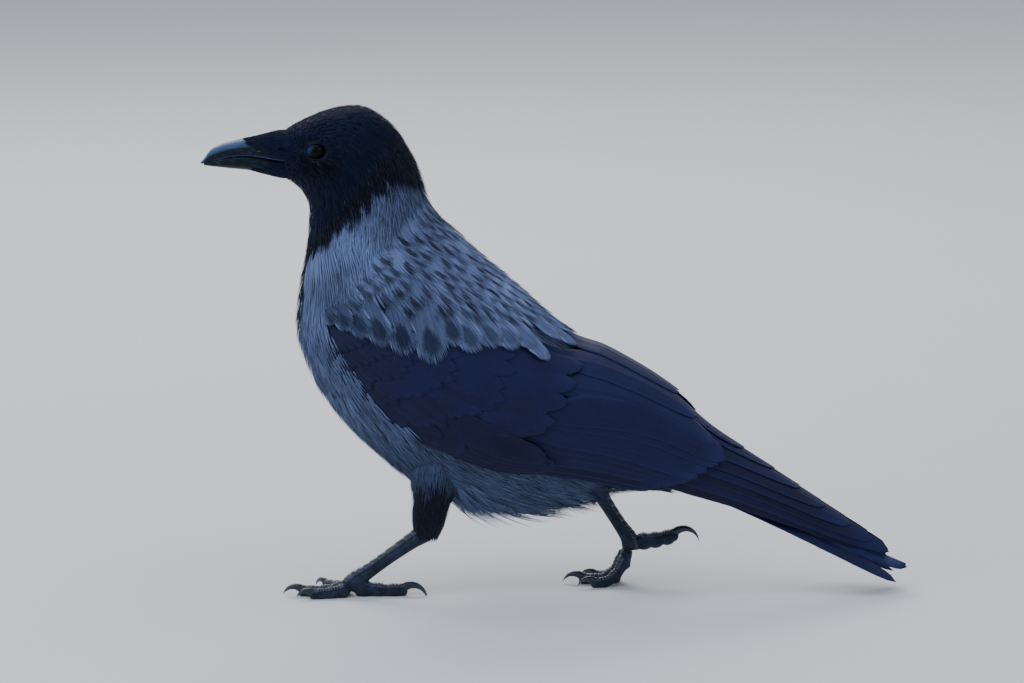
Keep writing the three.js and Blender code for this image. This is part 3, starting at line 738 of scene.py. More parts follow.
def group(name, inputs, outputs):
    """An empty node group with named sockets; inputs are (name, kind, default)."""
    tree = bpy.data.node_groups.new(name, "ShaderNodeTree")
    kinds = {"color": "NodeSocketColor", "float": "NodeSocketFloat"}
    for label, kind, default in inputs:
        socket = tree.interface.new_socket(label, in_out="INPUT", socket_type=kinds[kind])
        socket.default_value = default
    for label, kind in outputs:
        tree.interface.new_socket(label, in_out="OUTPUT", socket_type=kinds[kind])
    graph = Graph(tree)
    return graph, graph.add("NodeGroupInput"), graph.add("NodeGroupOutput")


def feather_marks():
    """Colour, roughness and barbs of a feather, from the values its mesh carries."""
    g, ins, outs = group(
        "feather marks",
        [("Grey", "color", (0.2, 0.2, 0.25, 1)), ("Black", "color", (0.01, 0.01, 0.02, 1)),
         ("Shaft", "color", (0.02, 0.02, 0.03, 1)), ("Pale", "color", (0.4, 0.4, 0.5, 1)),
         ("Contrast", "float", 0.3), ("Fringe", "float", 0.2), ("Barbs", "float", 0.5),
         ("Shaft width", "float", 0.1), ("Spot place", "float", 0.78),
         ("Spot length", "float", 0.2)],
        [("Color", "color"), ("Roughness", "float"), ("Height", "float")],
    )
    at = ins.outputs
    along, across, reach, shade, black, streak, dark = (
        g.value_of(k) for k in ("along", "across", "reach", "shade", "hood", "streak", "dark"))
    side = g.math("ABSOLUTE", across)
    base = g.blend(black, at["Grey"], at["Black"])
    # A feather's shade is a random tone of its own plus the painted light and shade of its part.
    level = g.math("SUBTRACT", shade, 0.5)
    level = g.math("MULTIPLY_ADD", level, at["Contrast"], 1.0)
    level = g.math("MULTIPLY", level, g.ramp(g.noise(55.0, 2.0), 0.3, 0.7, 0.88, 1.12))
    wobble = g.noise(900.0, 2.0)
    slant = g.math("MULTIPLY_ADD", side, 3.2, reach)
    slant = g.math("MULTIPLY_ADD", wobble, 1.4, slant)
    # Barbs run out from the shaft at a slant, 1.2 mm apart, with finer ones between.
    barbs = g.math("SINE", g.math("MULTIPLY", slant, 5.2))
    fine = g.math("SINE", g.math("MULTIPLY", slant, 11.7))
    barbs = g.math("MULTIPLY_ADD", fine, 0.45, barbs)
    tone = g.math("MULTIPLY", barbs, g.math("MULTIPLY", at["Barbs"], 0.075))
    base = g.darkened(base, g.math("ADD", level, tone))
    # Pale edges and tips: a paler fringe on grey feathers, and on black feathers a painted sheen
    # along the edges.
    edge = g.math("MAXIMUM", g.ramp(side, 0.72, 1.0), g.ramp(along, 0.86, 1.0))
    base = g.blend(g.math("MULTIPLY", edge, at["Fringe"]), base, at["Pale"])
    # dark darkens a feather inside its fringe: the dark centres of some shoulder feathers, and
    # painted shade towards the belly and the hind end.
    inner = g.math("SUBTRACT", 1.0, g.math("MULTIPLY", edge, 0.75))
    centre = g.math("MULTIPLY", g.math("MULTIPLY", dark, inner), 0.85)
    base = g.blend(centre, base, at["Shaft"])
    ahead = g.math("DIVIDE", g.math("SUBTRACT", along, at["Spot place"]), at["Spot length"])
    widening = g.math("MULTIPLY", at["Shaft width"], g.math("MULTIPLY_ADD", ahead, 0.45, 1.0))
    aside = g.math("DIVIDE", side, widening)
    away = g.math("ADD", g.math("MULTIPLY", ahead, ahead), g.math("MULTIPLY", aside, aside))
    away = g.math("MULTIPLY_ADD", wobble, 0.5, g.math("SQRT", away))
    spot = g.math("MULTIPLY", g.ramp(away, 0.8, 1.3, 1.0, 0.0), streak, clamp=True)
    rough = g.math("MULTIPLY_ADD", barbs, 0.03, g.ramp(black, 0, 1, 0.78, 0.52))
    g.feed(outs, "Color", g.blend(spot, base, at["Shaft"]))
    g.feed(outs, "Roughness", rough)
    g.feed(outs, "Height", barbs)
    return g.tree


def surface_material(name):
    """A new material with one shader, and the graph to wire it in."""
    material = bpy.data.materials.new(name)
    material.use_nodes = True
    tree = material.node_tree
    tree.nodes.clear()
    graph = Graph(tree)
    shader = graph.add("ShaderNodeBsdfPrincipled")
    output = graph.add("ShaderNodeOutputMaterial")
    tree.links.new(shader.outputs[0], output.inputs[0])
    return material, graph, shader


def srgb(r, g, b):
    """A colour given in display values from 0 to 255."""
    def linear(v):
        v /= 255
        return v / 12.92 if v <= 0.04045 else ((v + 0.055) / 1.055) ** 2.4
    return (linear(r), linear(g), linear(b), 1.0)


def finish(g, shader, color, rough, bump=None, sockets=None):
    """Feeds a shader its colour and roughness, and its relief from (strength, distance,
    height), and sets the sockets that are the same all over."""
    g.feed(shader, "Base Color", color)
    g.feed(shader, "Roughness", rough)
    if bump:
        relief = g.add("ShaderNodeBump")
        for key, value in zip(("Strength", "Distance", "Height"), bump):
            g.feed(relief, key, value)
        g.feed(shader, "Normal", relief.outputs[0])
    for key, value in (sockets or {}).items():
        shader.inputs[key].default_value = value


MARKS = feather_marks()
BLUE_GLOSS = (0.55, 0.64, 1.0, 1)
VIOLET_GLOSS = (0.6, 0.58, 1.0, 1)
HORN_GLOSS = (0.6, 0.78, 1.0, 1)
GREY_FRINGE = (146, 162, 202)


def plumage(name, *, grey=(128, 142, 170), black, shaft=(38, 44, 62), pale, contrast, fringe,
            barbs=0.6, shaft_width=0.16, spot=(0.78, 0.2), bump=0.12, gloss, sheen,
            tint=BLUE_GLOSS):
    """The feathers of one part of the bird. Colours are display values from 0 to 255, and
    spot is the place and the length of the dark spot along a feather."""
    material, g, shader = surface_material(name)
    marks = g.add("ShaderNodeGroup", node_tree=MARKS)
    for key, color in (("Grey", grey), ("Black", black), ("Shaft", shaft), ("Pale", pale)):
        marks.inputs[key].default_value = srgb(*color)
    for key, value in (("Contrast", contrast), ("Fringe", fringe), ("Barbs", barbs),
                       ("Shaft width", shaft_width), ("Spot place", spot[0]),
                       ("Spot length", spot[1])):
        marks.inputs[key].default_value = value
    color, rough, height = marks.outputs
    finish(g, shader, color, rough, (bump, 0.0003, height),
           {"Specular IOR Level": gloss, "Specular Tint": tint, "Sheen Weight": sheen,
            "Sheen Roughness": 0.4, "Sheen Tint": (0.6, 0.7, 1, 1)})
    return material


head_black = plumage("head_plumage", black=(24, 32, 54), pale=(26, 34, 56), contrast=0.3,
                     fringe=0.1, barbs=0.3, gloss=0.16, sheen=0.0)
soft_grey = plumage("body_plumage", grey=(102, 117, 153), black=(9, 12, 21),
                    shaft=(24, 29, 48), pale=GREY_FRINGE, contrast=0.25, fringe=0.2,
                    shaft_width=0.34, spot=(0.74, 0.2), gloss=0.2, sheen=0.04)
mantle_grey = plumage("mantle_plumage", grey=(95, 109, 145), black=(10, 13, 24),
                      shaft=(10, 13, 27), pale=GREY_FRINGE, contrast=0.22, fringe=0.25,
                      shaft_width=0.34, spot=(0.77, 0.24), gloss=0.25, sheen=0.2)
lobe_grey = plumage("shoulder_plumage", grey=(88, 101, 136), black=(10, 13, 24),
                    shaft=(20, 25, 45), pale=(150, 166, 206), contrast=0.2, fringe=0.5,
                    shaft_width=0.6, spot=(0.66, 0.26), gloss=0.2, sheen=0.1)
# The grey of the thighs is darker than the body's: painted shade.
thigh_plumage = plumage("thigh_plumage", grey=(84, 97, 130), black=(6, 7, 12),
                        pale=(60, 68, 88), contrast=0.3, fringe=0.08, barbs=0.3,
                        gloss=0.15, sheen=0.05)
# On the black wing and tail feathers, the bluish pale fringe is painted sheen along their edges.
wing_black = plumage("wing_plumage", black=(14, 19, 51), pale=(38, 48, 102),
                     shaft=(6, 8, 18), contrast=0.42, fringe=0.14, barbs=0.8,
                     shaft_width=0.07, bump=0.25, gloss=0.35, sheen=0.03,
                     tint=VIOLET_GLOSS)
flight_black = plumage("flight_plumage", black=(13, 19, 50), pale=(44, 58, 116),
                       shaft=(4, 5, 12), contrast=0.46, fringe=0.22, barbs=0.8,
                       shaft_width=0.08, bump=0.25, gloss=0.35, sheen=0.03,
                       tint=VIOLET_GLOSS)


def horn(name, color, pale, *, roughness, scratch, coat, grain, gloss):
    """Keratin of the bill and the claws: a dark body, paler where it is worn, and on the bill
    paler too where a highlight and sheen are painted.
    """
    material, g, shader = surface_material(name)
    stretched = g.add("ShaderNodeMapping")
    g.feed(stretched, "Scale", grain)
    g.feed(stretched, "Vector", g.object_place())
    streaks = g.noise(220.0, 4.0, stretched.outputs[0])
    worn = g.math("MULTIPLY", g.ramp(streaks, 0.5, 0.75), g.ramp(g.noise(90.0), 0.4, 0.65))
    # Paler along the worn streaks, and by each piece's own value: worn places, and on the bill
    # painted sheen and a highlight.
    share = g.math("ADD", g.math("MULTIPLY", worn, 0.35),
                   g.math("MULTIPLY", g.value_of("wear_and_sheen"), 0.8), clamp=True)
    finish(g, shader, g.blend(share, srgb(*color), srgb(*pale)),
           g.math("MULTIPLY_ADD", streaks, scratch, roughness - scratch * 0.5),
           (0.25, 0.0002, streaks),
           {"Coat Weight": coat, "Coat Roughness": 0.25, "Specular IOR Level": gloss,
            "Specular Tint": HORN_GLOSS})
    return material


# The bill's bluish pale colour serves its worn tip and the sheen and highlight painted on it.
bill_horn = horn("bill_horn", (5, 7, 12), (94, 120, 168), roughness=0.42, scratch=0.16,
                 coat=0.0, grain=(1, 6, 6), gloss=0.26)
claw_horn = horn("claw_horn", (22, 25, 32), (96, 102, 116), roughness=0.3, scratch=0.2,
                 coat=0.35, grain=(3, 3, 3), gloss=0.5)


def skin_finish():
    """Dark skin under black plumage, grey under grey, and scaly on the legs."""
    material, g, shader = surface_material("skin")
    black, leg = g.value_of("hood"), g.value_of("leg")
    fine = g.noise(700.0)
    base = g.blend(black, srgb(96, 100, 112), srgb(7, 9, 14))
    scaly = g.blend(g.ramp(g.noise(160.0), 0.35, 0.7), srgb(24, 28, 39), srgb(46, 54, 74))
    base = g.blend(leg, base, scaly)
    cells = g.add("ShaderNodeTexVoronoi", feature="DISTANCE_TO_EDGE")
    g.feed(cells, "Vector", g.object_place())
    g.feed(cells, "Scale", 900.0)
    crease = g.ramp(cells.outputs["Distance"], 0.0, 0.16)
    shadow = g.math("MULTIPLY", g.math("SUBTRACT", 1.0, crease), leg)
    base = g.blend(g.math("MULTIPLY", shadow, 0.55), base, srgb(14, 16, 22))
    bumps = g.math("MULTIPLY", crease, g.math("MULTIPLY_ADD", leg, 0.9, 0.1))
    finish(g, shader, base, g.math("MULTIPLY_ADD", fine, 0.25, 0.42),
           (0.6, 0.0003, g.math("MULTIPLY_ADD", fine, 0.3, bumps)),
           {"Specular IOR Level": 0.35, "Specular Tint": HORN_GLOSS})
    return material


def scale_finish():
    """The horny plates down the front of the tarsus and along the toes."""
    material, g, shader = surface_material("leg_scales")
    cloud = g.noise(260.0, 4.0)
    base = g.blend(g.ramp(cloud, 0.35, 0.7), srgb(25, 30, 42), srgb(52, 62, 84))
    edge = g.ramp(g.value_of("along"), 0.7, 1.0)
    base = g.blend(g.math("MULTIPLY", edge, 0.35), base, srgb(112, 124, 148))
    base = g.darkened(base, g.math("MULTIPLY_ADD", g.value_of("shade"), 0.4, 0.8))
    finish(g, shader, base, g.math("MULTIPLY_ADD", cloud, 0.25, 0.3), (0.3, 0.0002, cloud))
    return material


def eye_finish():
    """Dark brown iris round a black pupil, under a wet clear coat. A bluish reflection is
    painted into the front corner."""
    material, g, shader = surface_material("eye_wet")
    out = g.value_of("from_axis")
    fibres = g.noise(1500.0)
    iris = g.blend(g.ramp(fibres, 0.35, 0.65), srgb(6, 5, 5), srgb(15, 11, 10))
    base = g.blend(g.ramp(out, 0.42, 0.47), srgb(3, 3, 4), iris)
    base = g.blend(g.ramp(out, 0.8, 0.9), base, srgb(6, 6, 9))
    # A bluish reflection painted into the front corner of the eye.
    painted_reflection = g.math("MULTIPLY", g.ramp(g.value_of("front"), 0.25, 0.6), 0.7)
    finish(g, shader, g.blend(painted_reflection, base, srgb(30, 43, 82)),
           g.math("MULTIPLY_ADD", fibres, 0.1, 0.5), None,
           {"Specular IOR Level": 0.02, "Coat Weight": 0.4, "Coat IOR": 1.33,
            "Coat Tint": (0.8, 0.9, 1.0, 1), "Coat Roughness": 0.02})
    return material


skin_material = skin_finish()
scale_material = scale_finish()
eye_material = eye_finish()


def dress(piece, material, slot, *nodes):
    """The piece's finish, the body it rides on, and the CAD nodes it stands for."""
    piece.data.materials.append(material)
    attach(piece, "root")
    if nodes:
        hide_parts(*nodes)
    return piece


# ---------------------------------------------------------------- eyes


def eyeball(side):
    """A ball whose front bulges a little, its axis turned slightly forward."""
    rows, columns = 28, 40
    pole = 0.02  # the angle that is left open round each end of the axis
    away, turn = grid(np.linspace(pole, math.pi - pole, rows),
                      np.linspace(0, 2 * math.pi, columns, endpoint=False))
    radius = EYE["radius"] * 0.97 * (1 + 0.045 * np.exp(-((away / 0.75) ** 2)))
    axis = unit(np.array([-0.22, side * 1.0, 0.03]))
    first = unit(np.cross(axis, [0, 0, 1.0]))
    away, turn = away[..., None], turn[..., None]
    spoke = np.cos(turn) * first + np.sin(turn) * np.cross(axis, first)
    spoke = np.cos(away) * axis + np.sin(away) * spoke
    centre = np.array([EYE["x"], side * EYE["y"], EYE["z"]])
    points = centre + spoke * radius[..., None]
    out = np.where(np.cos(away) > 0, np.sin(away), 1)
    # How far towards the front and the top a point lies: where the eye's reflection is painted.
    front = (centre[0] - points[..., 0] + 0.5 * (points[..., 2] - centre[2])) / radius
    return points.reshape(-1, 3), tube_faces(rows, columns), {"from_axis": out, "front": front}


for name, side in SIDES.items():
    points, faces, marks = eyeball(side)
    eye = new_piece(f"eyeball_{name}", points, [faces], marks)
    dress(eye, eye_material, "eye", f"eye_{name}")

# ---------------------------------------------------------------- bill


def bill_half(t):
    """Half the width of the bill at a share of its length from the tip."""
    return BILL_HALF_WIDTH * np.sin(np.pi / 2 * np.minimum(t, 1) ** 0.55) ** 1.1


class BillSide(Surface):
    """One half of the bill from its root, at place 0, to its tip, at place 1. The cover is
    the thickness of what lies over it at the root."""

    def __init__(self, upper, cover=0.0):
        self.upper = upper
        self.cover = cover

    def inner(self, place, angle):
        low_end = 0.004 if self.upper else 0.04
        t = np.clip(BILL_ROOT * (1 - np.asarray(place)), low_end, BILL_ROOT)
        at = np.minimum(t, 1) * (len(CULMEN) - 1)
        grow = self.cover * step_up(t, 0.5, 1.1)
        if self.upper:
            top, low = smooth_at(CULMEN, at) + grow, smooth_at(CUTTING_EDGE, at)
            half = bill_half(t) + grow
        else:
            top, low = smooth_at(CUTTING_EDGE, at) + 0.5, smooth_at(LOWER_EDGE, at) - grow
            half = bill_half(t) * 0.88 + grow
        cosine, sine = np.cos(angle), np.sin(angle)
        flat_side = cosine < 0 if self.upper else cosine > 0
        height = np.sign(cosine) * np.abs(cosine) ** np.where(flat_side, 0.5, 1.0)
        width = np.sign(sine) * np.abs(sine) ** np.where(flat_side, 0.42, 1.05)
        z = (top + low) / 2 + height * (top - low) / 2
        return np.stack([t * BILL_LENGTH + 0 * z, -half * width, z], -1)


def bill_half_piece(name, upper, node):
    """Half the bill, worn paler at its tip; on the upper half a highlight is painted along the
    cutting edge and sheen over the top.
    """
    side = BillSide(upper)
    rows, columns = 64, 40
    place, angle = grid(1 - np.linspace(1, 0, rows) ** 1.35,
                        np.linspace(-np.pi, np.pi, columns, endpoint=False))
    points = side.inner(place, angle)
    t = BILL_ROOT * (1 - place)
    # A highlight painted along the cutting edge of the upper half.
    edge = np.exp(-((np.abs(angle) - 2.5) / 0.16) ** 2) * 0.8 * step_up(t, 0, 0.3) * upper
    # Sheen painted over the top of the front of the upper half.
    top = step_up(np.cos(angle), -0.1, 0.7) * (1 - step_up(t, 0.45, 0.75)) * upper
    # Worn paler at the tip, plus the painted highlight and sheen, as one value.
    wear_and_sheen = np.clip(edge + 0.6 * top + (1 - step_up(t, 0, 0.08)) * 0.3, 0, 1)
    piece = new_piece(name, points, [tube_faces(rows, columns)], {"wear_and_sheen": wear_and_sheen})
    return dress(piece, bill_horn, "bill", node)


bill_half_piece("upper_bill", True, "bill_upper")
bill_half_piece("lower_bill", False, "bill_lower")

# ---------------------------------------------------------------- legs

# Each leg: joints (x, y, z, radius) of the thigh and of the tarsus, and the toes: the hind
# toe, then the inner, middle and outer one. A toe has its start, its knuckle and its end,
# its radius, and the length, the lift and the bend of its claw.
LEGS = {
    "left": {
        "thigh": [[131, -22, 80, 17], [128, -21.5, 63, 13.4], [126.4, -20.6, 52, 10],
                  [125, -19.8, 43.5, 9.4], [124, -19, 37, 7.6]],
        "tarsus": [[130, -19, 41, 4.6], [123, -18.7, 35.6, 5.2], [114.6, -18.5, 30, 4.3],
                   [102, -18.2, 21, 3.8], [92, -18, 13.8, 4], [84.5, -18, 8.6, 4.8],
                   [80.4, -18, 5.2, 4.4]],
        "toes": [
            [[85, -17.8, 5.6], [97, -17.4, 1.5], [110, -17, 2.9], 4, 17.5, 0.75, 2.1],
            [[80.8, -14.4, 4.6], [74, -5, 2.2], [68.5, 1, 2.4], 3.2, 10.5, 0.9, 1.9],
            [[78, -18.4, 4.6], [69, -18.6, 1.6], [56, -18.4, 2.5], 3.6, 12, 0.8, 1.8],
            [[80.4, -21.4, 4.6], [71.4, -25, 2.2], [62, -27, 2.4], 3.2, 10.5, 0.9, 1.9],
        ],
    },
    "right": {
        "thigh": [[188, 19, 86, 15], [199, 18.4, 75, 13.6], [208, 17.8, 65, 10.4],
                  [214, 17.4, 56, 7.4], [217, 17.2, 51, 5.4]],
        "tarsus": [[213.6, 17.4, 60, 4.6], [218, 17.3, 53, 4.3], [224, 17.2, 43.4, 3.7],
                   [230.4, 17.1, 33.4, 3.7], [234.8, 17, 27, 4.4], [236.4, 17, 23, 5],
                   [236.2, 17, 19.6, 4.4]],
        "toes": [
            [[240.6, 17, 24.4], [250, 17, 24.4], [260, 17, 27.4], 3.9, 17, 0.7, 2.1],
            [[234.6, 13.8, 18.6], [229, 9, 0.6], [217, 6.4, 2.4], 3.2, 11, 0.9, 1.9],
            [[233.6, 17.2, 18.4], [228.6, 17.6, -0.8], [210.8, 18, 2.5], 3.6, 12.5, 0.8, 1.8],
            [[234.8, 20.6, 18.6], [230, 25.4, 0.6], [218, 28.4, 2.4], 3.2, 10.5, 0.9, 1.9],
        ],
    },
}
CLAW_RISE = 0.5  # how far over the middle of its toe a claw starts, in toe radii
LEG_SKIN_GRAIN = 0.00055  # metres between the points of the legs' skin


def toe_joints(start, knuckle, end, radius):
    """Joints of a toe with a pad at the middle of each of its bones."""
    t = np.linspace(0, 1, 7)[:, None]
    start, knuckle, end = (np.array(p, float) for p in (start, knuckle, end))
    points = start * (1 - t) ** 2 + 2 * knuckle * t * (1 - t) + end * t ** 2
    swell = np.where(np.arange(7) % 2, 1.1, 0.94)[:, None]
    return np.concatenate([points, radius * swell * mix(1.05, 0.86, t)], 1)


def claw_joints(joints, length, lift, bend, steps=12):
    """An arc that leaves the toe upwards by the lift, turns down by the bend, and tapers."""
    along = unit(joints[-1, :3] - joints[-2, :3])
    flat = unit(np.array([along[0], along[1], 0]))
    rise = math.asin(along[2])
    radius = joints[-1, 3] * 0.8
    tip = joints[-1, :3] + [0, 0, joints[-1, 3] * CLAW_RISE] - along * 1.2
    arc = [[*tip, radius * 0.9]]
    tip = tip + along * 2.3
    arc.append([*tip, radius])
    for step in range(1, steps + 1):
        t = step / steps
        turn = rise + mix(lift, lift - bend, t - 0.5 / steps + 0.125)
        tip = tip + flat * math.cos(turn) * length / steps
        tip[2] += math.sin(turn) * length / steps
        arc.append([*tip, radius * mix(1, 0.05, t ** 1.15)])
    return np.array(arc)


def tube_of(limb, rows, columns):
    """Points of a limb, row by row, and the faces over them."""
    place, angle = grid(np.linspace(0, limb.last, rows),
                        np.linspace(-np.pi, np.pi, columns, endpoint=False))
    return limb.point(place, angle), tube_faces(rows, columns)


def ball(centre, radii, rows=10, columns=16):
    """A ball with its own radius along each axis."""
    down, turn = grid(np.linspace(0.05, math.pi - 0.05, rows),
                      np.linspace(0, 2 * math.pi, columns, endpoint=False))
    spoke = np.stack([np.sin(down) * np.cos(turn), np.sin(down) * np.sin(turn),
                      np.cos(down)], -1)
    return np.array(centre) + spoke * np.array(radii), tube_faces(rows, columns)


def bare_leg(leg):
    """Tarsus and toes as one smooth skin, with the ankle, the knuckles and the pads."""
    thigh = np.array(leg["thigh"], float)
    thigh[:, 3] -= [6, 2.6, 1.6, 1.2, 1.0]  # the depth of its feathers
    parts = [tube_of(Limb(thigh), 24, 24), tube_of(Limb(leg["tarsus"]), 60, 28)]
    for *toe, _, _, _ in leg["toes"]:
        joints = toe_joints(*toe)
        parts.append(tube_of(Limb(joints), 40, 22))
        for x, y, z, r in joints[1:6:2]:
            parts.append(ball([x, y, max(z - r * 0.42, r * 0.55)], [r * 1.12, r, r * 0.8]))
        x, y, z, r = joints[6]
        parts.append(ball([x, y, max(z - 0.3, r * 0.6)], [r * 1.05] * 3))
    points, quads = joined(parts)
    rough = new_piece("rough_leg", points, [quads])
    modifier = rough.modifiers.new("one skin", "REMESH")
    modifier.mode = "VOXEL"
    modifier.voxel_size = LEG_SKIN_GRAIN
    modifier.use_smooth_shade = True
    evened = rough.modifiers.new("even", "SMOOTH")
    evened.factor = 0.5
    evened.iterations = 3
    graph = bpy.context.evaluated_depsgraph_get()
    mesh = bpy.data.meshes.new_from_object(rough.evaluated_get(graph))
    points = np.zeros(len(mesh.vertices) * 3, np.float32)
    mesh.vertices.foreach_get("co", points)
    points = points.reshape(-1, 3) * 1000 - (shift_x, 0, 0)
    quads = np.zeros(len(mesh.loops), np.int32)
    mesh.loops.foreach_get("vertex_index", quads)
    bpy.data.objects.remove(rough)
    points[:, 2] = np.maximum(points[:, 2], 0)
    return points, quads.reshape(-1, 4)


# ---------------------------------------------------------------- skin


def depth_at(place):
    """How deep the skin lies under the feathers, at a place along the body."""
    return smooth_at(COAT_DEPTH, np.clip(place, 0, len(COAT_DEPTH) - 1))


def body_skin():
    """The body under its coat, pressed in behind the eyes."""
    rows = np.concatenate([np.arange(0, 6, 0.075), np.arange(6, 24.01, 0.2)])
    columns = np.linspace(-np.pi, np.pi, 132, endpoint=False)
    place, angle = grid(rows, columns)
    points, _, _, normal = body.spread(place, angle)
    points = points - normal * depth_at(place)[..., None]
    dx = (points[..., 0] - EYE["x"]) / 8.0
    dz = (points[..., 2] - EYE["z"]) / 6.2
    pit = 1 - step_up(np.hypot(dx, dz), 0.75, 1.2)
    y = np.abs(points[..., 1])
    y = np.where(y > 6, mix(y, np.minimum(y, 9.0), pit), y)
    points[..., 1] = np.sign(points[..., 1]) * y
    return points.reshape(-1, 3), tube_faces(len(rows), len(columns))


def eyelids(side):
    """The bare rim round an eye: a closed ring that rests on the ball, with a fold."""
    columns = 72
    turn = np.linspace(0, 2 * np.pi, columns, endpoint=False)
    grow = np.array([1.0, 1.02, 1.08, 1.16, 1.24, 1.32, 1.42, 1.54, 1.68, 1.84, 2.0])[:, None]
    across = np.cos(turn) * LID["half_length"]
    up = np.sin(turn) * LID["half_height"] * (1 + 0.06 * np.cos(turn))
    on_face = []
    for x, z in zip(EYE["x"] + across * 2.0, EYE["z"] + up * 2.0):
        place, angle = body.locate(x, z)
        face_y = abs(body.point(np.array([place]), np.array([angle]))[0, 1])
        on_face.append(face_y - depth_at(place) - 0.1)
    on_ball = EYE["y"] + np.sqrt(np.maximum(EYE["radius"] ** 2 - across ** 2 - up ** 2, 0))
    y = mix(on_ball + 0.15, np.array(on_face), step_up(grow, 1.0, 2.0))
    # The swollen edge, the furrow round it, and a fold.
    for height, where, width in ((0.55, 1.1, 0.07), (-0.3, 1.3, 0.06), (0.25, 1.45, 0.08)):
        y = y + height * np.exp(-((grow - where) / width) ** 2)
    top = np.stack([EYE["x"] + across * grow, y, EYE["z"] + up * grow], -1)
    loop = np.concatenate([top, top[::-1] - [0, 0.9, 0]])
    loop[..., 1] *= side
    rows = len(loop)
    r, j = grid(np.arange(rows), np.arange(columns))
    n, m = (j + 1) % columns, (r + 1) % rows
    quads = np.stack([r * columns + j, m * columns + j, m * columns + n, r * columns + n],
                     -1).reshape(-1, 4)
    return loop.reshape(-1, 3), quads


def outward(points, quads):
    """A closed part with its faces turned out."""
    a, b, c, d = (points[quads[:, k]] for k in range(4))
    volume = np.sum(a * np.cross(b, c)) + np.sum(a * np.cross(c, d))
    return points, quads if volume > 0 else quads[:, ::-1]


skin_parts = [outward(*part) for part in (
    body_skin(), *(eyelids(side) for side in SIDES.values()),
    *(bare_leg(leg) for leg in LEGS.values()))]
on_leg = np.concatenate([np.full(len(part), share) for (part, _), share in
                         zip(skin_parts, (0, 0, 0, 1, 1))])
points, quads = joined(skin_parts)
skin = new_piece("skin", points, [quads],
                 {"hood": np.maximum(hood(points), on_leg), "leg": on_leg})
leg_nodes = [f"{part}_{s}" for s in LEGS for part in ("thigh", "tarsus")]
leg_nodes += [f"toe_{s}_{k}" for s in LEGS for k in range(1, 5)]
dress(skin, skin_material, "black_plumage", "head", "neck", "breast", "trunk", "rump",
      *leg_nodes)


def claws(name, leg):
    """The four claws of a foot, paler towards their points."""
    rows, columns = 34, 14
    tubes = []
    for *toe, length, lift, bend in leg["toes"]:
        arc = claw_joints(toe_joints(*toe), length, lift, bend)
        tubes.append(tube_of(Limb(arc, floor=True), rows, columns))
    points, quads = joined(tubes)
    wear_and_sheen = np.repeat(np.linspace(0, 1, rows) ** 4 * 0.6, columns)
    piece = new_piece(f"claws_{name}", points, [quads], {"wear_and_sheen": np.tile(wear_and_sheen, len(tubes))})
    dress(piece, claw_horn, "claw", *[f"claw_{name}_{k}" for k in range(1, 5)])


SCUTE_OVERLAP = 1.22  # how long a plate is, in steps from one to the next
SCUTE_THICKNESS = 0.4


def add_scutes(pile, limb, first, last, spread, lift, rng):
    """Overlapping plates in a row along a limb."""
    rows, columns, count = 4, 9, 11
    share = np.linspace(0, 1, rows)  # of the way down a plate
    bounds = np.linspace(first, last, count + 1)
    for low, high in zip(bounds[:-1], bounds[1:]):
        place = low + (high - low) * SCUTE_OVERLAP * share
        wide = spread * (1 - 0.12 * (2 * share - 1) ** 4)
        angle = np.linspace(-1, 1, columns) * wide[:, None]
        points, _, _, normal = limb.spread(np.broadcast_to(place[:, None], angle.shape), angle)
        rise = mix(-0.15, lift, share[:, None] ** 0.7) * (1 - (angle / spread) ** 6)
        rise = rise + 0.12 * np.sin(np.pi * share)[:, None]
        top = points + normal * rise[..., None]
        loop = np.concatenate([top, (top - normal * SCUTE_THICKNESS)[:, -2:0:-1]], 1)
        loop[..., 2] = np.maximum(loop[..., 2], 0)
        along = np.repeat(share, 2 * columns - 2)
        shade = np.full(len(along), rng.random())
        patch = np.stack([np.full(len(along), low / (limb.last + 1)), along * 0.003], -1)
        pile.add(loop, sheet_faces(rows, columns), {"along": along, "shade": shade}, patch)


def scutes(name, leg):
    """The plates on the front of the tarsus and the tops of the toes."""
    pile = Pile()
    rng = np.random.default_rng(5)
    add_scutes(pile, Limb(leg["tarsus"]), 1.2, 5.6, 1.15, 0.4, rng)
    for *toe, _, _, _ in leg["toes"]:
        add_scutes(pile, Limb(toe_joints(*toe)), 0.5, 5.9, 1.05, 0.34, rng)
    dress(pile.piece(f"scutes_{name}"), scale_material, "scaly_leg")


for name, leg in LEGS.items():
    claws(name, leg)
    scutes(name, leg)

# ---------------------------------------------------------------- coat of the body


def near_eye(points, grow):
    """Points within the lids of an eye, once these are grown."""
    dx = (points[..., 0] - EYE["x"]) / (LID["half_length"] * grow)
    dz = (points[..., 2] - EYE["z"]) / (LID["half_height"] * grow)
    return (dx * dx + dz * dz < 1) & (np.abs(points[..., 1]) > 6)


def eye_distance(points):
    """How far points lie from an eye: 1 just outside its lids, and 9 away from the sides."""
    dx, dz = (points[..., 0] - EYE["x"]) / 6.0, (points[..., 2] - EYE["z"]) / 4.8
    return np.where(np.abs(points[..., 1]) > 5, np.hypot(dx, dz), 9)


def inside(polygon, points):
    """Where points, seen from the side, lie in a polygon."""
    x, z = points[..., 0], points[..., 2]
    crossed = np.zeros(x.shape, bool)
    for (x1, z1), (x2, z2) in zip(polygon, np.roll(polygon, -1, 0)):
        between = (z1 > z) != (z2 > z)
        at = x1 + (z - z1) * (x2 - x1) / (z2 - z1 + 1e-12)
        crossed ^= between & (x < at)
    return crossed


# The side view of what a folded wing hides, a little inside its edge.
UNDER_WING = np.array([
    [80, 146], [96, 163], [116, 188], [138, 188], [170, 163], [200, 136], [235, 110],
    [262, 92], [258, 74], [215, 72], [190, 77], [160, 88], [120, 101], [92, 126],
])
TIP_SHIFT = np.array([18, 0, -8])  # from the root of a breast feather to its tip


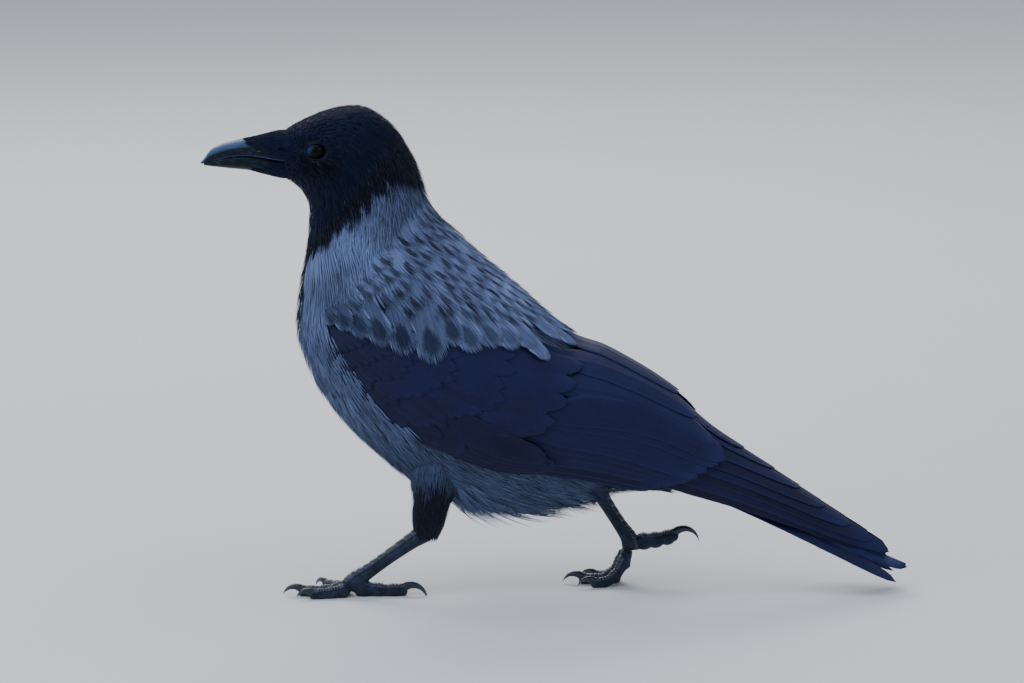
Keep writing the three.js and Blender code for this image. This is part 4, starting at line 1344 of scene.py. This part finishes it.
def clear_of_wing(points):
    """Where a feather neither starts nor ends under the folded wing."""
    return ~(inside(UNDER_WING, points) | inside(UNDER_WING, points + TIP_SHIFT))


def wave(points, size, seed):
    """A slow random swell over the body, mostly between -1 and 1."""
    rng = np.random.default_rng(seed)
    total = 0
    for _ in range(4):
        way = unit(rng.normal(size=3)) / size
        total = total + np.sin(points @ way * 2 * np.pi + rng.random() * 6.3)
    return total / 2.6


def pointed_fan(*pairs):
    """A strand down the middle, and for each of the pairs (start, end, offset) one on
    either side, as add_plumes takes them."""
    return [(0.0, 1.0, 0.0)] + [(start, end, side * offset) for start, end, offset in pairs
                                for side in (-1, 1)]


HAIR = pointed_fan((0.04, 0.86, 0.9))
HACKLE = pointed_fan((0.05, 0.92, 0.45), (0.1, 0.78, 1.0))
PLUME = pointed_fan((0.08, 0.97, 0.34), (0.14, 0.9, 0.68), (0.2, 0.78, 1.0))


def spaced(places, gaps):
    """A spacing for scatter that changes with the place along a surface."""
    return lambda place, angle: np.interp(place, places, gaps)


def round_below(past):
    """Keeps the roots past an angle from the back that the folded wing leaves clear."""
    return lambda place, angle: ((np.abs(angle) > past)
                                 & clear_of_wing(body.point(place, angle)))


def painted_belly_shade(points):
    """How much painted shade darkens the grey towards the belly."""
    return 0.5 * (1 - step_up(points[..., 2], 80, 132))


# Painted sheen on the forehead and the cheek, and painted shade round the eye, on the black
# of the head, from the side: x, z, reach in x and in z, and how much.
HEAD_PAINTED_LIGHT = [[74, 265, 18, 9, 1.2], [88, 236, 9, 12, 0.8], [65, 240, 15, 9, -2.4]]


def head_coat():
    """Short dense feathers, finest round the eye and pressed back over it."""
    def spacing(place, angle):
        base = np.interp(place, [0, 2, 4, 6.8], [1.3, 1.5, 1.8, 2.3])
        near = eye_distance(body.point(place, angle))
        return base * np.interp(near, [1.2, 2.6], [0.72, 1.0])

    def keep(place, angle):
        return ~near_eye(body.point(place, angle), 1.22)

    place, angle = scatter(body, 0.02, 6.8, spacing, 11, keep)
    points = body.point(place, angle)
    near = eye_distance(points)
    length = np.interp(place, [0, 1.5, 3, 4.5, 6.8], [3.6, 5, 6.5, 8.5, 13])
    length = length * np.interp(near, [1.2, 2.8], [0.42, 1.0])
    width = np.interp(place, [0, 3, 6.8], [1.5, 2.1, 3.6])
    width = width * np.interp(near, [1.2, 2.8], [0.6, 1.0])
    ahead = (points[:, 0] < EYE["x"]) & (near < 2.6)
    swerve = np.sign(points[:, 2] - EYE["z"]) * -np.sign(angle) * ahead
    heading = swerve * np.interp(near, [1.1, 2.6], [0.9, 0.0]) + wave(points, 24, 3) * 0.1
    # Painted sheen on the forehead and the cheek, and painted shade round the eye.
    light = sum(more * mound(points[:, 0], points[:, 2], *where)
                for *where, more in HEAD_PAINTED_LIGHT)
    pile = Pile()
    add_plumes(pile, body, place, angle, length=length, width=width, heading=heading,
               light=light, root_lift=0.12 - depth_at(place),
               tip_lift=np.interp(place, [0, 1, 4, 6.8], [0.0, 0.1, 0.25, 0.5]),
               strands=HAIR, strand_width=0.4, roll=0.14, seed=12, pointed=1.7, rise=0.7,
               uneven=0.08)
    return pile


def neck_coat():
    """Narrow pointed feathers, lightest at the side of the neck where a highlight is painted,
    and with painted shade over the back of the neck.
    """
    place, angle = scatter(
        body, 6.5, 12.9, spaced([6.8, 9, 12.6], [2.2, 2.6, 3.3]), 21,
        lambda place, angle: ~inside(UNDER_WING, body.point(place, angle)))
    points = body.point(place, angle)
    length = np.interp(place, [6.5, 9, 12.9], [14, 18, 25])
    width = np.interp(place, [6.5, 9, 12.9], [4.0, 5.2, 7.6])
    heading = wave(points, 40, 5) * 0.14
    pile = Pile()
    streak = step_up(np.cos(angle), -0.1, 0.7) * 0.8
    # A highlight painted on the side of the neck.
    side_light = 3.8 * mound(points[:, 0], points[:, 2], 80, 198, 18, 18)
    add_plumes(pile, body, place, angle, length=length, width=width, heading=heading,
               root_lift=0.2 - depth_at(place), tip_lift=np.interp(place, [6.5, 12.9], [0.5, 1]),
               strands=HACKLE, strand_width=0.52, roll=0.12, streak=streak, seed=22,
               # the painted highlight, and painted shade over the back of the neck
               light=side_light - 0.4 * step_up(np.cos(angle), 0.2, 0.9), pointed=1.8,
               rise=0.75, uneven=0.08)
    return pile


def breast_coat():
    """Soft rounded feathers, some with a dark streak down the middle."""
    place, angle = scatter(body, 12.4, 18.2, spaced([12.6, 15, 18], [3.5, 4.0, 4.4]), 31,
                           round_below(1.25))
    points = body.point(place, angle)
    pile = Pile()
    rng = np.random.default_rng(33)
    streak = (rng.random(len(place)) < 0.34) * rng.uniform(0.5, 1, len(place))
    add_plumes(pile, body, place, angle, length=np.interp(place, [12.4, 18.2], [23, 28]),
               width=np.interp(place, [12.4, 18.2], [7.8, 9.2]),
               heading=wave(points, 60, 7) * 0.1, root_lift=0.3 - depth_at(place),
               tip_lift=0.6, strands=PLUME, strand_width=0.72, ridge=0.12, roll=0.12,
               # painted shade towards the belly
               streak=streak, seed=32, pointed=2.4, dark=painted_belly_shade(points))
    return pile


# The grey shoulder feathers, from the side: x, and the lowest height their tips reach.
MANTLE_EDGE = [
    [60, 164], [76, 163], [88, 161], [101, 159], [115, 156], [128, 153], [138, 150],
    [148, 147], [160, 146.5], [182, 145], [200, 144], [208, 140], [213, 152], [214, 400],
]
# Their front edge: x, and the height they stay under.
MANTLE_FRONT = [[72, 162], [90, 180], [112, 194], [119, 201], [126, 216]]
# The large feathers that hang over the wing: x and z of the tip, length, width, and the
# angle in degrees at which they hang.
LOBES = [
    [76, 155.5, 14, 9, 36], [84, 152.5, 20, 11.5, 46], [93, 149, 26, 13, 54],
    [103, 145, 31, 14.5, 60], [114, 141, 33, 16, 67], [129.5, 135.6, 38, 18.5, 73],
    [141.5, 144.5, 30, 14, 66], [152, 140.6, 31, 15, 60], [164, 142.6, 28, 14, 55],
    [174, 141, 28, 14, 51], [183, 140.6, 28, 12, 48], [190.5, 133.6, 32, 9, 46],
    [197, 142.4, 27, 9, 43], [206.5, 138, 30, 8.5, 42],
]


def hang(points):
    """The angle at which shoulder feathers lie over the wing, in radians under level."""
    low = np.interp(points[..., 0], [60, 100, 131, 160, 200], [34, 56, 70, 57, 43])
    share = step_up(points[..., 2], 148, 182)
    return np.radians(mix(low, 39, share))


def down_back(angle):
    """The direction back along the bird and down by an angle."""
    return np.stack([np.cos(angle), 0 * angle, -np.sin(angle)], -1)


def mantle_coat(side):
    """The shoulder feathers of one side, from the middle of the back to over the wing."""
    def keep(place, angle):
        points = fold.point(place, angle)
        x, z = points[..., 0], points[..., 2]
        return (z > line_at(MANTLE_EDGE, x) + 2) & (z < line_at(MANTLE_FRONT, x))

    place, angle = tiled(fold, -0.3, 9.3, 17, 7.4, side, 41 + side, keep)
    points = fold.point(place, angle)
    rng = np.random.default_rng(43 + side)
    pile = Pile()
    heading = aim(fold, place, angle, down_back(hang(points)))
    low = 1 - step_up(points[:, 2], 150, 176)
    front = 1 - step_up(points[:, 0], 92, 122)
    dim = low * (0.3 + 0.6 * front) * rng.uniform(0.4, 1.2, len(place))
    streak = rng.uniform(0.65, 1, len(place)) * (1 - 0.5 * low * front)
    ahead = 1 - step_up(line_at(MANTLE_FRONT, points[:, 0]) - points[:, 2], 0, 20)
    # Painted light and shade along the back: darkest in the middle, lightest furthest back.
    light = np.interp(points[:, 0], [85, 100, 128, 150, 175], [1.2, 0.8, -0.4, 1.6, 4.4])
    add_contour(pile, fold, place, angle, length=mix(25, 29, low), width=mix(10.5, 14, low),
                heading=heading + rng.normal(0, 0.06, len(place)),
                lift=(-3.4 - 5 * ahead, 1.2 - 0.8 * ahead), streak=streak, light=light,
                dark=np.clip(dim, 0, 0.8), seed=45 + side, fray=0.03, pointed=4.0)
    return pile


def lobe_coat(side):
    """The large soft feathers at the lower edge of the shoulder."""
    pile = Pile()
    x, z, long, wide, lean = np.array(LOBES, float).T
    spots = np.array([fold.locate(*xz) for xz in zip(x, z)])
    place, angle = spots[:, 0], spots[:, 1] * side
    heading = aim(fold, place, angle, down_back(np.radians(lean)))
    order = np.arange(len(x)) % 2
    add_contour(pile, fold, place, angle, length=long, width=wide, heading=heading,
                lift=(-2.6, 2.0 + 0.5 * order), dark=np.interp(x, [88, 131, 180], [0.6, 0.3, 0]),
                streak=np.interp(x, [75, 120, 165, 190], [0.6, 0.9, 0.6, 0.2]),
                # painted light, stronger further back, and painted shade on the foremost
                # feathers
                light=np.interp(x, [90, 115, 165, 190], [-0.4, 0.4, 1.0, 2.0]),
                seed=47 + side, rise=0.5, strand_width=0.85, rows=6, fray=0.012,
                pointed=6.0, ridge=0.05, strands=rounded_fan(21))
    return pile


# Where the grey of the breast overlaps the front of the folded wing, from the side.
BREAST_OVER_WING = np.array([
    [62, 190], [76, 190], [96, 174], [90, 163], [74, 159], [68, 154], [70.5, 143],
    [75.5, 135], [84, 128], [90, 117], [94.5, 109], [104, 98], [112.5, 90], [124, 86],
    [117, 83], [98, 96], [84, 110], [72, 124], [62, 140], [58, 152], [58, 170],
])


def side_coat(side):
    """Long soft feathers of the side of the breast, which lie over the front of the wing."""
    def keep(place, angle):
        return inside(BREAST_OVER_WING, fold.point(place, angle)) & (angle * side > 0)

    place, angle = scatter(fold, 0, 9, spaced([0], [3.4]), 35 + side, keep)
    points = fold.point(place, angle)
    rng = np.random.default_rng(36 + side)
    lean = np.radians(np.interp(points[:, 2], [85, 110, 135, 157], [43, 52, 58, 66]))
    heading = aim(fold, place, angle, down_back(lean)) + rng.normal(0, 0.05, len(place))
    pile = Pile()
    streak = (rng.random(len(place)) < 0.3) * rng.uniform(0.3, 0.7, len(place))
    front = step_up(points[:, 2], 140, 165)
    add_contour(pile, fold, place, angle, length=27, width=8.5, heading=heading,
                lift=(mix(-3.4, -6, front), mix(1.5, 0.3, front)), strands=PLUME,
                strand_width=0.66, streak=streak, seed=37 + side, pointed=2.2, apart=0.3,
                # painted shade towards the belly, and painted light on the upper feathers
                rise=0.6, dark=painted_belly_shade(points), light=0.5 * front, marks=by_hood)
    return pile


def rump_coat():
    """The grey of the lower back, between the folded wings."""
    place, angle = scatter(body, 12.4, 23.8, spaced([0], [5.0]), 57,
                           lambda place, angle: np.abs(angle) < 1.25)
    pile = Pile()
    add_plumes(pile, body, place, angle, length=26, width=10,
               root_lift=0.3 - depth_at(place), tip_lift=-0.4, strands=PLUME,
               strand_width=0.85, roll=0.1, seed=58, pointed=2.4)
    return pile


def belly_coat():
    """Long loose feathers under the body, some of them standing off."""
    place, angle = scatter(body, 17.6, 23.4, spaced([18.2, 21, 24], [4.2, 4.0, 3.8]), 51,
                           round_below(1.2))
    points = body.point(place, angle)
    rng = np.random.default_rng(53)
    count = len(place)
    under = step_up(np.abs(angle), 1.9, 2.7) * (1 - step_up(place, 20.2, 21.8))
    stray = (rng.random(count) < 0.3) * under
    long = np.interp(place, [17.6, 20.3, 21.6, 24], [28, 30, 19, 15])
    long = long * rng.uniform(0.8, 1.15, count)
    # Painted shade on the hindmost feathers, under the wings and the tail.
    painted_shade_at_hind_end = 0.6 * step_up(points[:, 0], 195, 215)
    lean = np.radians(np.interp(place, [17.6, 20, 22, 24], [44, 42, 26, 8]))
    heading = aim(body, place, angle, down_back(lean)) + wave(points, 50, 9) * 0.25
    pile = Pile()
    add_plumes(pile, body, place, angle, length=long * (1 + 0.25 * stray),
               width=np.interp(place, [17.6, 21, 24], [10, 11, 9]),
               heading=heading + rng.normal(0, 0.1, count),
               root_lift=0.3 - depth_at(place),
               tip_lift=0.4 + (under + stray) * 5 - 2.5 * step_up(place, 21.7, 22.7),
               strands=PLUME, rows=4, strand_width=0.5, roll=0.25,
               streak=(rng.random(count) < 0.28) * 0.9, seed=52, pointed=1.7,
               # painted shade towards the belly and at the hind end
               rise=0.9, tip_curl=2.5, uneven=0.12, dark=0.75 * painted_belly_shade(points) + painted_shade_at_hind_end)
    return pile


def thigh_coat(leg, grey_over, seed):
    """Feathers of a thigh: grey like the belly above a height, black below it."""
    limb = Limb(leg["thigh"])

    def black(points, ragged):
        return (points[:, 2] < grey_over + ragged * 1.6).astype(float)

    place, angle = scatter(limb, -0.2, 3.97, spaced([0, 2, 4], [3.0, 2.2, 1.7]), seed)
    pile = Pile()
    add_plumes(pile, limb, place, angle, length=np.interp(place, [0, 2, 4], [19, 14, 6]),
               width=np.interp(place, [0, 2, 4], [6, 4.4, 2.4]),
               root_lift=np.interp(place, [0, 4], [-3.4, -0.8]),
               tip_lift=np.interp(place, [0, 1, 2, 4], [0.8, 0.8, 0.5, 0.2]), strands=HACKLE,
               strand_width=0.5, roll=0.16, seed=seed + 1, pointed=1.8, marks=black,
               # painted shade towards the belly
               dark=painted_belly_shade(limb.point(place, angle)))
    return pile


for name, make, material, slot in (
    ("head_feathers", head_coat, head_black, "black_plumage"),
    ("neck_feathers", neck_coat, soft_grey, "grey_plumage"),
    ("breast_feathers", breast_coat, soft_grey, "grey_plumage"),
    ("belly_feathers", belly_coat, soft_grey, "grey_plumage"),
    ("rump_feathers", rump_coat, soft_grey, "grey_plumage"),
    ("breast_side_left", lambda: side_coat(LEFT), soft_grey, "grey_plumage"),
    ("breast_side_right", lambda: side_coat(RIGHT), soft_grey, "grey_plumage"),
    ("thigh_feathers_left", lambda: thigh_coat(LEGS["left"], 55, 61), thigh_plumage,
     "black_plumage"),
    ("thigh_feathers_right", lambda: thigh_coat(LEGS["right"], 62, 71), thigh_plumage,
     "black_plumage"),
):
    dress(make().piece(name), material, slot)

# ---------------------------------------------------------------- wings

# The fans that wing feathers lie in, from the side: x and z down the line of their roots,
# and down the line of their tips.
FANS = {
    "coverts": {"roots": [[92, 158], [78, 154], [66, 149], [66, 142]],
                "tips": [[206, 132], [203, 114], [192, 102], [174, 97], [162, 90],
                         [114, 87]]},
    "alula": {"roots": [[116, 121], [110, 103]], "tips": [[190, 82], [192, 74]]},
    "tertials": {"roots": [[190, 156], [186, 132], [182, 104]],
                 "tips": [[261, 114], [272, 99], [284, 82], [279, 75]]},
    "secondaries": {"roots": [[176, 106], [170, 94], [164, 80]],
                    "tips": [[288, 76], [274, 68], [264, 64], [248, 60]]},
    "primaries": {"roots": [[242, 126], [228, 98], [208, 79], [190, 69]],
                  "tips": [[296, 86], [320, 69], [342, 52], [364, 36], [380, 23],
                           [377, 19]]},
}
FANS = {name: tuple(np.array([fold.locate(x, z) for x, z in fan[key]])
                    for key in ("roots", "tips")) for name, fan in FANS.items()}


def fan_path(name, v, t0, t1):
    """Places and angles of one feather, from its root to its tip: v is how far down the fan
    it lies, and t0 and t1 are shares of the way from the roots to the tips."""
    roots, tips = FANS[name]
    v = np.clip(v, -0.05, 1.05)
    root = smooth_at(roots, v * (len(roots) - 1))
    tip = smooth_at(tips, v * (len(tips) - 1))
    return tuple((root + (tip - root) * np.linspace(t0, t1, 12)[:, None]).T)


def vane_row(pile, side, name, count, t0, t1, *, first, last, upper, lower, lift, step,
             seed, light=0.0, uneven=0.0, **more):
    """A row of feathers down a fan. A pair of widths or of painted light and shade goes from the
    first feather to the last one, and each feather lies a step under the one before it."""
    order = np.linspace(0, 1, count)
    reach = t1 * (1 + np.random.default_rng(seed + 100).normal(0, uneven, count))
    paths = [fan_path(name, v, t0, t) for v, t in zip(np.linspace(first, last, count), reach)]
    sink = order * step * count
    upper, lower, light = (mix(*np.broadcast_to(v, 2), order) for v in (upper, lower, light))
    add_vanes(pile, fold, paths, upper=upper, lower=lower, side=side, light=light,
              lift=(lift[0] - sink, lift[1] - sink), seed=seed, **more)


def flight_feathers(side):
    """The long feathers, the lowest group first."""
    pile = Pile()
    # Painted light and shade: the upper feathers of each group lighter than the lower ones, and
    # the tertials lightest.
    vane_row(pile, side, "primaries", 8, 0, 1.0, first=0.05, last=0.93, upper=(11, 8),
             lower=(8.5, 4.5), lift=(-3.6, -1.4), step=0.38, seed=3, rows=34, tip=10,
             camber=0.15, light=(0.0, -0.8))
    vane_row(pile, side, "secondaries", 9, 0, 1.0, first=0.0, last=0.98, upper=14, lower=5.5,
             lift=(-2.4, -0.2), step=0.36, seed=4, rows=28, tip=10, thick=0.35,
             camber=0.15, light=(0.5, -0.4))
    vane_row(pile, side, "tertials", 4, 0, 1.0, first=0.08, last=0.86, upper=12,
             lower=(10, 7), lift=(-1.6, 0.7), step=0.35, seed=5, rows=28, tip=6,
             thick=0.35, light=(0.8, 0.4))
    return pile


# Rows of small feathers over the wing, from the hindmost: how many, their roots and tips as
# shares of the fan, the widths of their two vanes, the lift of their tips, the step from
# one to the next, rows of points, how blunt the tip is, and the thickness.
COVERT_ROWS = [
    [11, 0.42, 1.0, 10, 9, 0.2, 0.05, 20, 3.4, 0.26],
    [13, 0.26, 0.74, 9, 8, 0.4, 0.04, 18, 3.2, 0.24],
    [14, 0.14, 0.54, 7.5, 7, 0.6, 0.03, 16, 3.0, 0.22],
    [14, 0.05, 0.4, 6.5, 6, 0.75, 0.02, 14, 3.0, 0.2],
    [14, -0.02, 0.28, 5.2, 5, 0.9, 0.02, 13, 2.8, 0.2],
    [13, -0.06, 0.17, 4.2, 4, 1.0, 0.02, 12, 2.8, 0.2],
]
UNEVEN = 0.024  # how much the lengths of these feathers differ


def covert_feathers(side):
    """The thumb feathers at the lower edge, and the rows of coverts over them."""
    pile = Pile()
    # Painted shade darkens the thumb feathers, and painted light and shade run from the upper,
    # hinder coverts to the lower, foremost ones.
    vane_row(pile, side, "alula", 7, -0.2, 1.0, first=-0.05, last=0.97, upper=9, lower=4,
             lift=(-1.4, 0.1), step=0.22, seed=11, rows=24, tip=7, camber=0.1,
             uneven=UNEVEN, light=-0.9)
    vane_row(pile, side, "alula", 4, -0.45, 0.3, first=0.03, last=0.97, upper=5, lower=3.6,
             lift=(-1.2, 0.3), step=0.16, seed=12, rows=20, tip=6, uneven=UNEVEN, light=-0.8)
    for k, (count, t0, t1, upper, lower, lift, step, rows, tip, thick) in enumerate(COVERT_ROWS):
        vane_row(pile, side, "coverts", count, t0, t1, first=0.03, last=0.97, upper=upper,
                 lower=lower, lift=(-1.6, lift), step=step, seed=13 + k, rows=rows, tip=tip,
                 thick=thick, uneven=UNEVEN, light=(0.8 - 0.25 * k, -0.8 - 0.06 * k))
    return pile


for name, side in SIDES.items():
    dress(flight_feathers(side).piece(f"flight_feathers_{name}"), flight_black,
          "flight_feathers",
          *[f"wing_{name}_{part}" for part in ("tertials", "secondaries", "primaries")])
    dress(covert_feathers(side).piece(f"wing_coverts_{name}"), wing_black, "flight_feathers",
          f"wing_{name}_coverts", f"wing_{name}_alula")
    dress(mantle_coat(side).piece(f"mantle_feathers_{name}"), mantle_grey, "grey_plumage",
          f"wing_{name}_scapulars")
    dress(lobe_coat(side).piece(f"shoulder_feathers_{name}"), lobe_grey, "grey_plumage")

# ---------------------------------------------------------------- tail


class TailSheet(Surface):
    """The arched sheet that the tail feathers lie in; the angle runs from -1 to 1."""

    def inner(self, place, angle):
        place, angle = np.asarray(place), np.asarray(angle)
        side = np.abs(angle)
        x = mix(250, 388.5, place)
        z = mix(71, 13.4, place) + np.sin(np.pi * place) - mix(6, 13, place) * side ** 2.6
        y = angle * mix(11, 21, place)
        return np.stack(np.broadcast_arrays(x, y, z), -1)


# Of one side's tail feathers, from the middle one out: how far out each lies at its root
# and at its tip, as shares of the half width, and how long it is.
TAIL_SPREAD = [[0.08, 0.12, 0.996], [0.16, 0.19, 1.0], [0.24, 0.25, 0.996],
               [0.32, 0.31, 0.99], [0.4, 0.37, 0.982], [0.5, 0.84, 0.955]]
# Painted light and shade on the tail feathers: lighter on the inner ones, darkest on the
# outermost.
TAIL_PAINTED_LIGHT = [0.9, 1.8, 1.9, 2.0, 0.5, -0.5]  # how much lighter than others each one is


def tail_feathers(side):
    """Half a fan, its middle feather on top and the outermost below."""
    pile = Pile()
    order = np.arange(len(TAIL_SPREAD))
    paths = []
    for root, tip, reach in TAIL_SPREAD:
        t = np.linspace(0.0, reach, 12)
        paths.append((t, mix(root, tip, (t / reach) ** 1.2)))
    add_vanes(pile, TailSheet(), paths, upper=6.2, lower=[5, 5, 5, 5, 5, 3.6],
              side=side, lift=(-0.3 * order, 0.9 - 0.26 * order), seed=91 + side, rows=34,
              tip=8, thick=0.3, light=TAIL_PAINTED_LIGHT)
    return pile


for name, side in SIDES.items():
    dress(tail_feathers(side).piece(f"tail_{name}"), flight_black, "flight_feathers",
          f"tail_feathers_{name}")

# ---------------------------------------------------------------- bristles over the nostrils


def nasal_bristles():
    """Stiff feathers that point forward over the nostrils, and the chin feathers below."""
    pile = Pile()
    rng = np.random.default_rng(101)
    for upper, count in ((True, 950), (False, 560)):
        bed = BillSide(upper, cover=3.0 if upper else 0.9)
        t = rng.uniform(0.6 if upper else 0.68, 1.17, count)
        out = rng.uniform(-1, 1, count)
        if upper:
            edge = np.interp(t, [0.6, 0.8, 1.0], [1.0, 1.5, 2.1])
            angle = out * edge
            long = np.interp(t, [0.6, 0.8, 1.17], [5, 9, 12]) * (1 - 0.3 * np.abs(out))
        else:
            edge = np.interp(t, [0.68, 0.84, 0.95, 1.1], [2.2, 2.0, 1.5, 1.0])
            angle = np.pi + out * (np.pi - edge)
            long = np.interp(t, [0.6, 0.8, 1.17], [3, 5, 6])
        long = long * rng.uniform(0.75, 1.15, count)
        add_plumes(pile, bed, 1 - t / BILL_ROOT, angle, length=long, width=1.5,
                   heading=rng.normal(0, 0.08, count), root_lift=-0.5,
                   tip_lift=np.interp(t, [0.6, 1.17], [0.1, 0.5]), strands=HAIR, rows=4,
                   strand_width=0.3, ridge=0.14, roll=0.3, seed=102 + upper, pointed=1.6,
                   marks=all_black, rise=0.7, uneven=0.16)
    return pile


dress(nasal_bristles().piece("bristles"), head_black, "black_plumage", "nasal_bristles")

# ---------------------------------------------------------------- floor, lights and camera


def stage_floor():
    """The floor under the bird, which isn't part of it."""
    mesh = bpy.data.meshes.new("floor")
    size = 6.0
    corners = [(-size, -size, 0), (size, -size, 0), (size, size, 0), (-size, size, 0)]
    mesh.from_pydata(corners, [], [(0, 1, 2, 3)])
    floor = bpy.data.objects.new("floor", mesh)
    bpy.context.scene.collection.objects.link(floor)
    material, g, shader = surface_material("pale_floor")
    color = g.blend(g.noise(3.0, 4.0), srgb(232, 231, 229), srgb(238, 236, 233))
    finish(g, shader, color, 0.75)
    mesh.materials.append(material)


def look_along(thing, way):
    """Turns a lamp or a camera to face a way, level at its sides, and puts it in the scene."""
    thing.rotation_mode = "QUATERNION"
    thing.rotation_quaternion = way.to_track_quat("-Z", "Y")
    bpy.context.scene.collection.objects.link(thing)


MIDDLE = (0, 0, 0.13)  # of the bird, in metres


def area_light(name, place, size, power, color):
    """A soft rectangular lamp that shines on the middle of the bird."""
    data = bpy.data.lights.new(name, "AREA")
    data.shape = "RECTANGLE"
    data.size, data.size_y = size
    data.energy = power
    data.color = color
    lamp = bpy.data.objects.new(name, data)
    lamp.location = place
    look_along(lamp, Vector(MIDDLE) - Vector(place))


stage_floor()
area_light("back_light", (-0.5, 1.8, 1.5), (1.6, 1.0), 22, (1.0, 0.97, 0.93))
area_light("front_light", (-1.2, -1.5, 1.5), (1.6, 1.2), 11, (0.8, 0.89, 1.0))
area_light("low_light", (-1.7, -0.8, 0.6), (1.4, 0.8), 8, (0.6, 0.78, 1.0))
area_light("side_light", (1.4, -1.2, 0.9), (1.2, 1.0), 3, (0.8, 0.9, 1.0))
area_light("top_light", (0.1, -0.2, 2.0), (2.2, 2.2), 12, (0.76, 0.87, 1.0))

world = bpy.data.worlds.new("studio")
bpy.context.scene.world = world
world.use_nodes = True
sky = world.node_tree.nodes["Background"]
sky.inputs["Color"].default_value = (0.8, 0.86, 1.0, 1)
sky.inputs["Strength"].default_value = 0.6

VIEW_MIDDLE = (170.72, 0, 138.9)  # of the picture, in the bird's millimetres
VIEW_WIDTH = 0.5632  # metres across the picture at the bird
CAMERA_DISTANCE = 4.0  # metres


def set_camera():
    """A long lens from the bird's left, a little above it."""
    data = bpy.data.cameras.new("camera")
    data.lens = data.sensor_width * CAMERA_DISTANCE / VIEW_WIDTH
    data.clip_end = 30
    camera = bpy.data.objects.new("camera", data)
    back = Vector((0, -math.cos(TILT), math.sin(TILT)))
    camera.location = Vector(place_in_frame(VIEW_MIDDLE)[0]) + back * CAMERA_DISTANCE
    look_along(camera, -back)
    bpy.context.scene.camera = camera


set_camera()
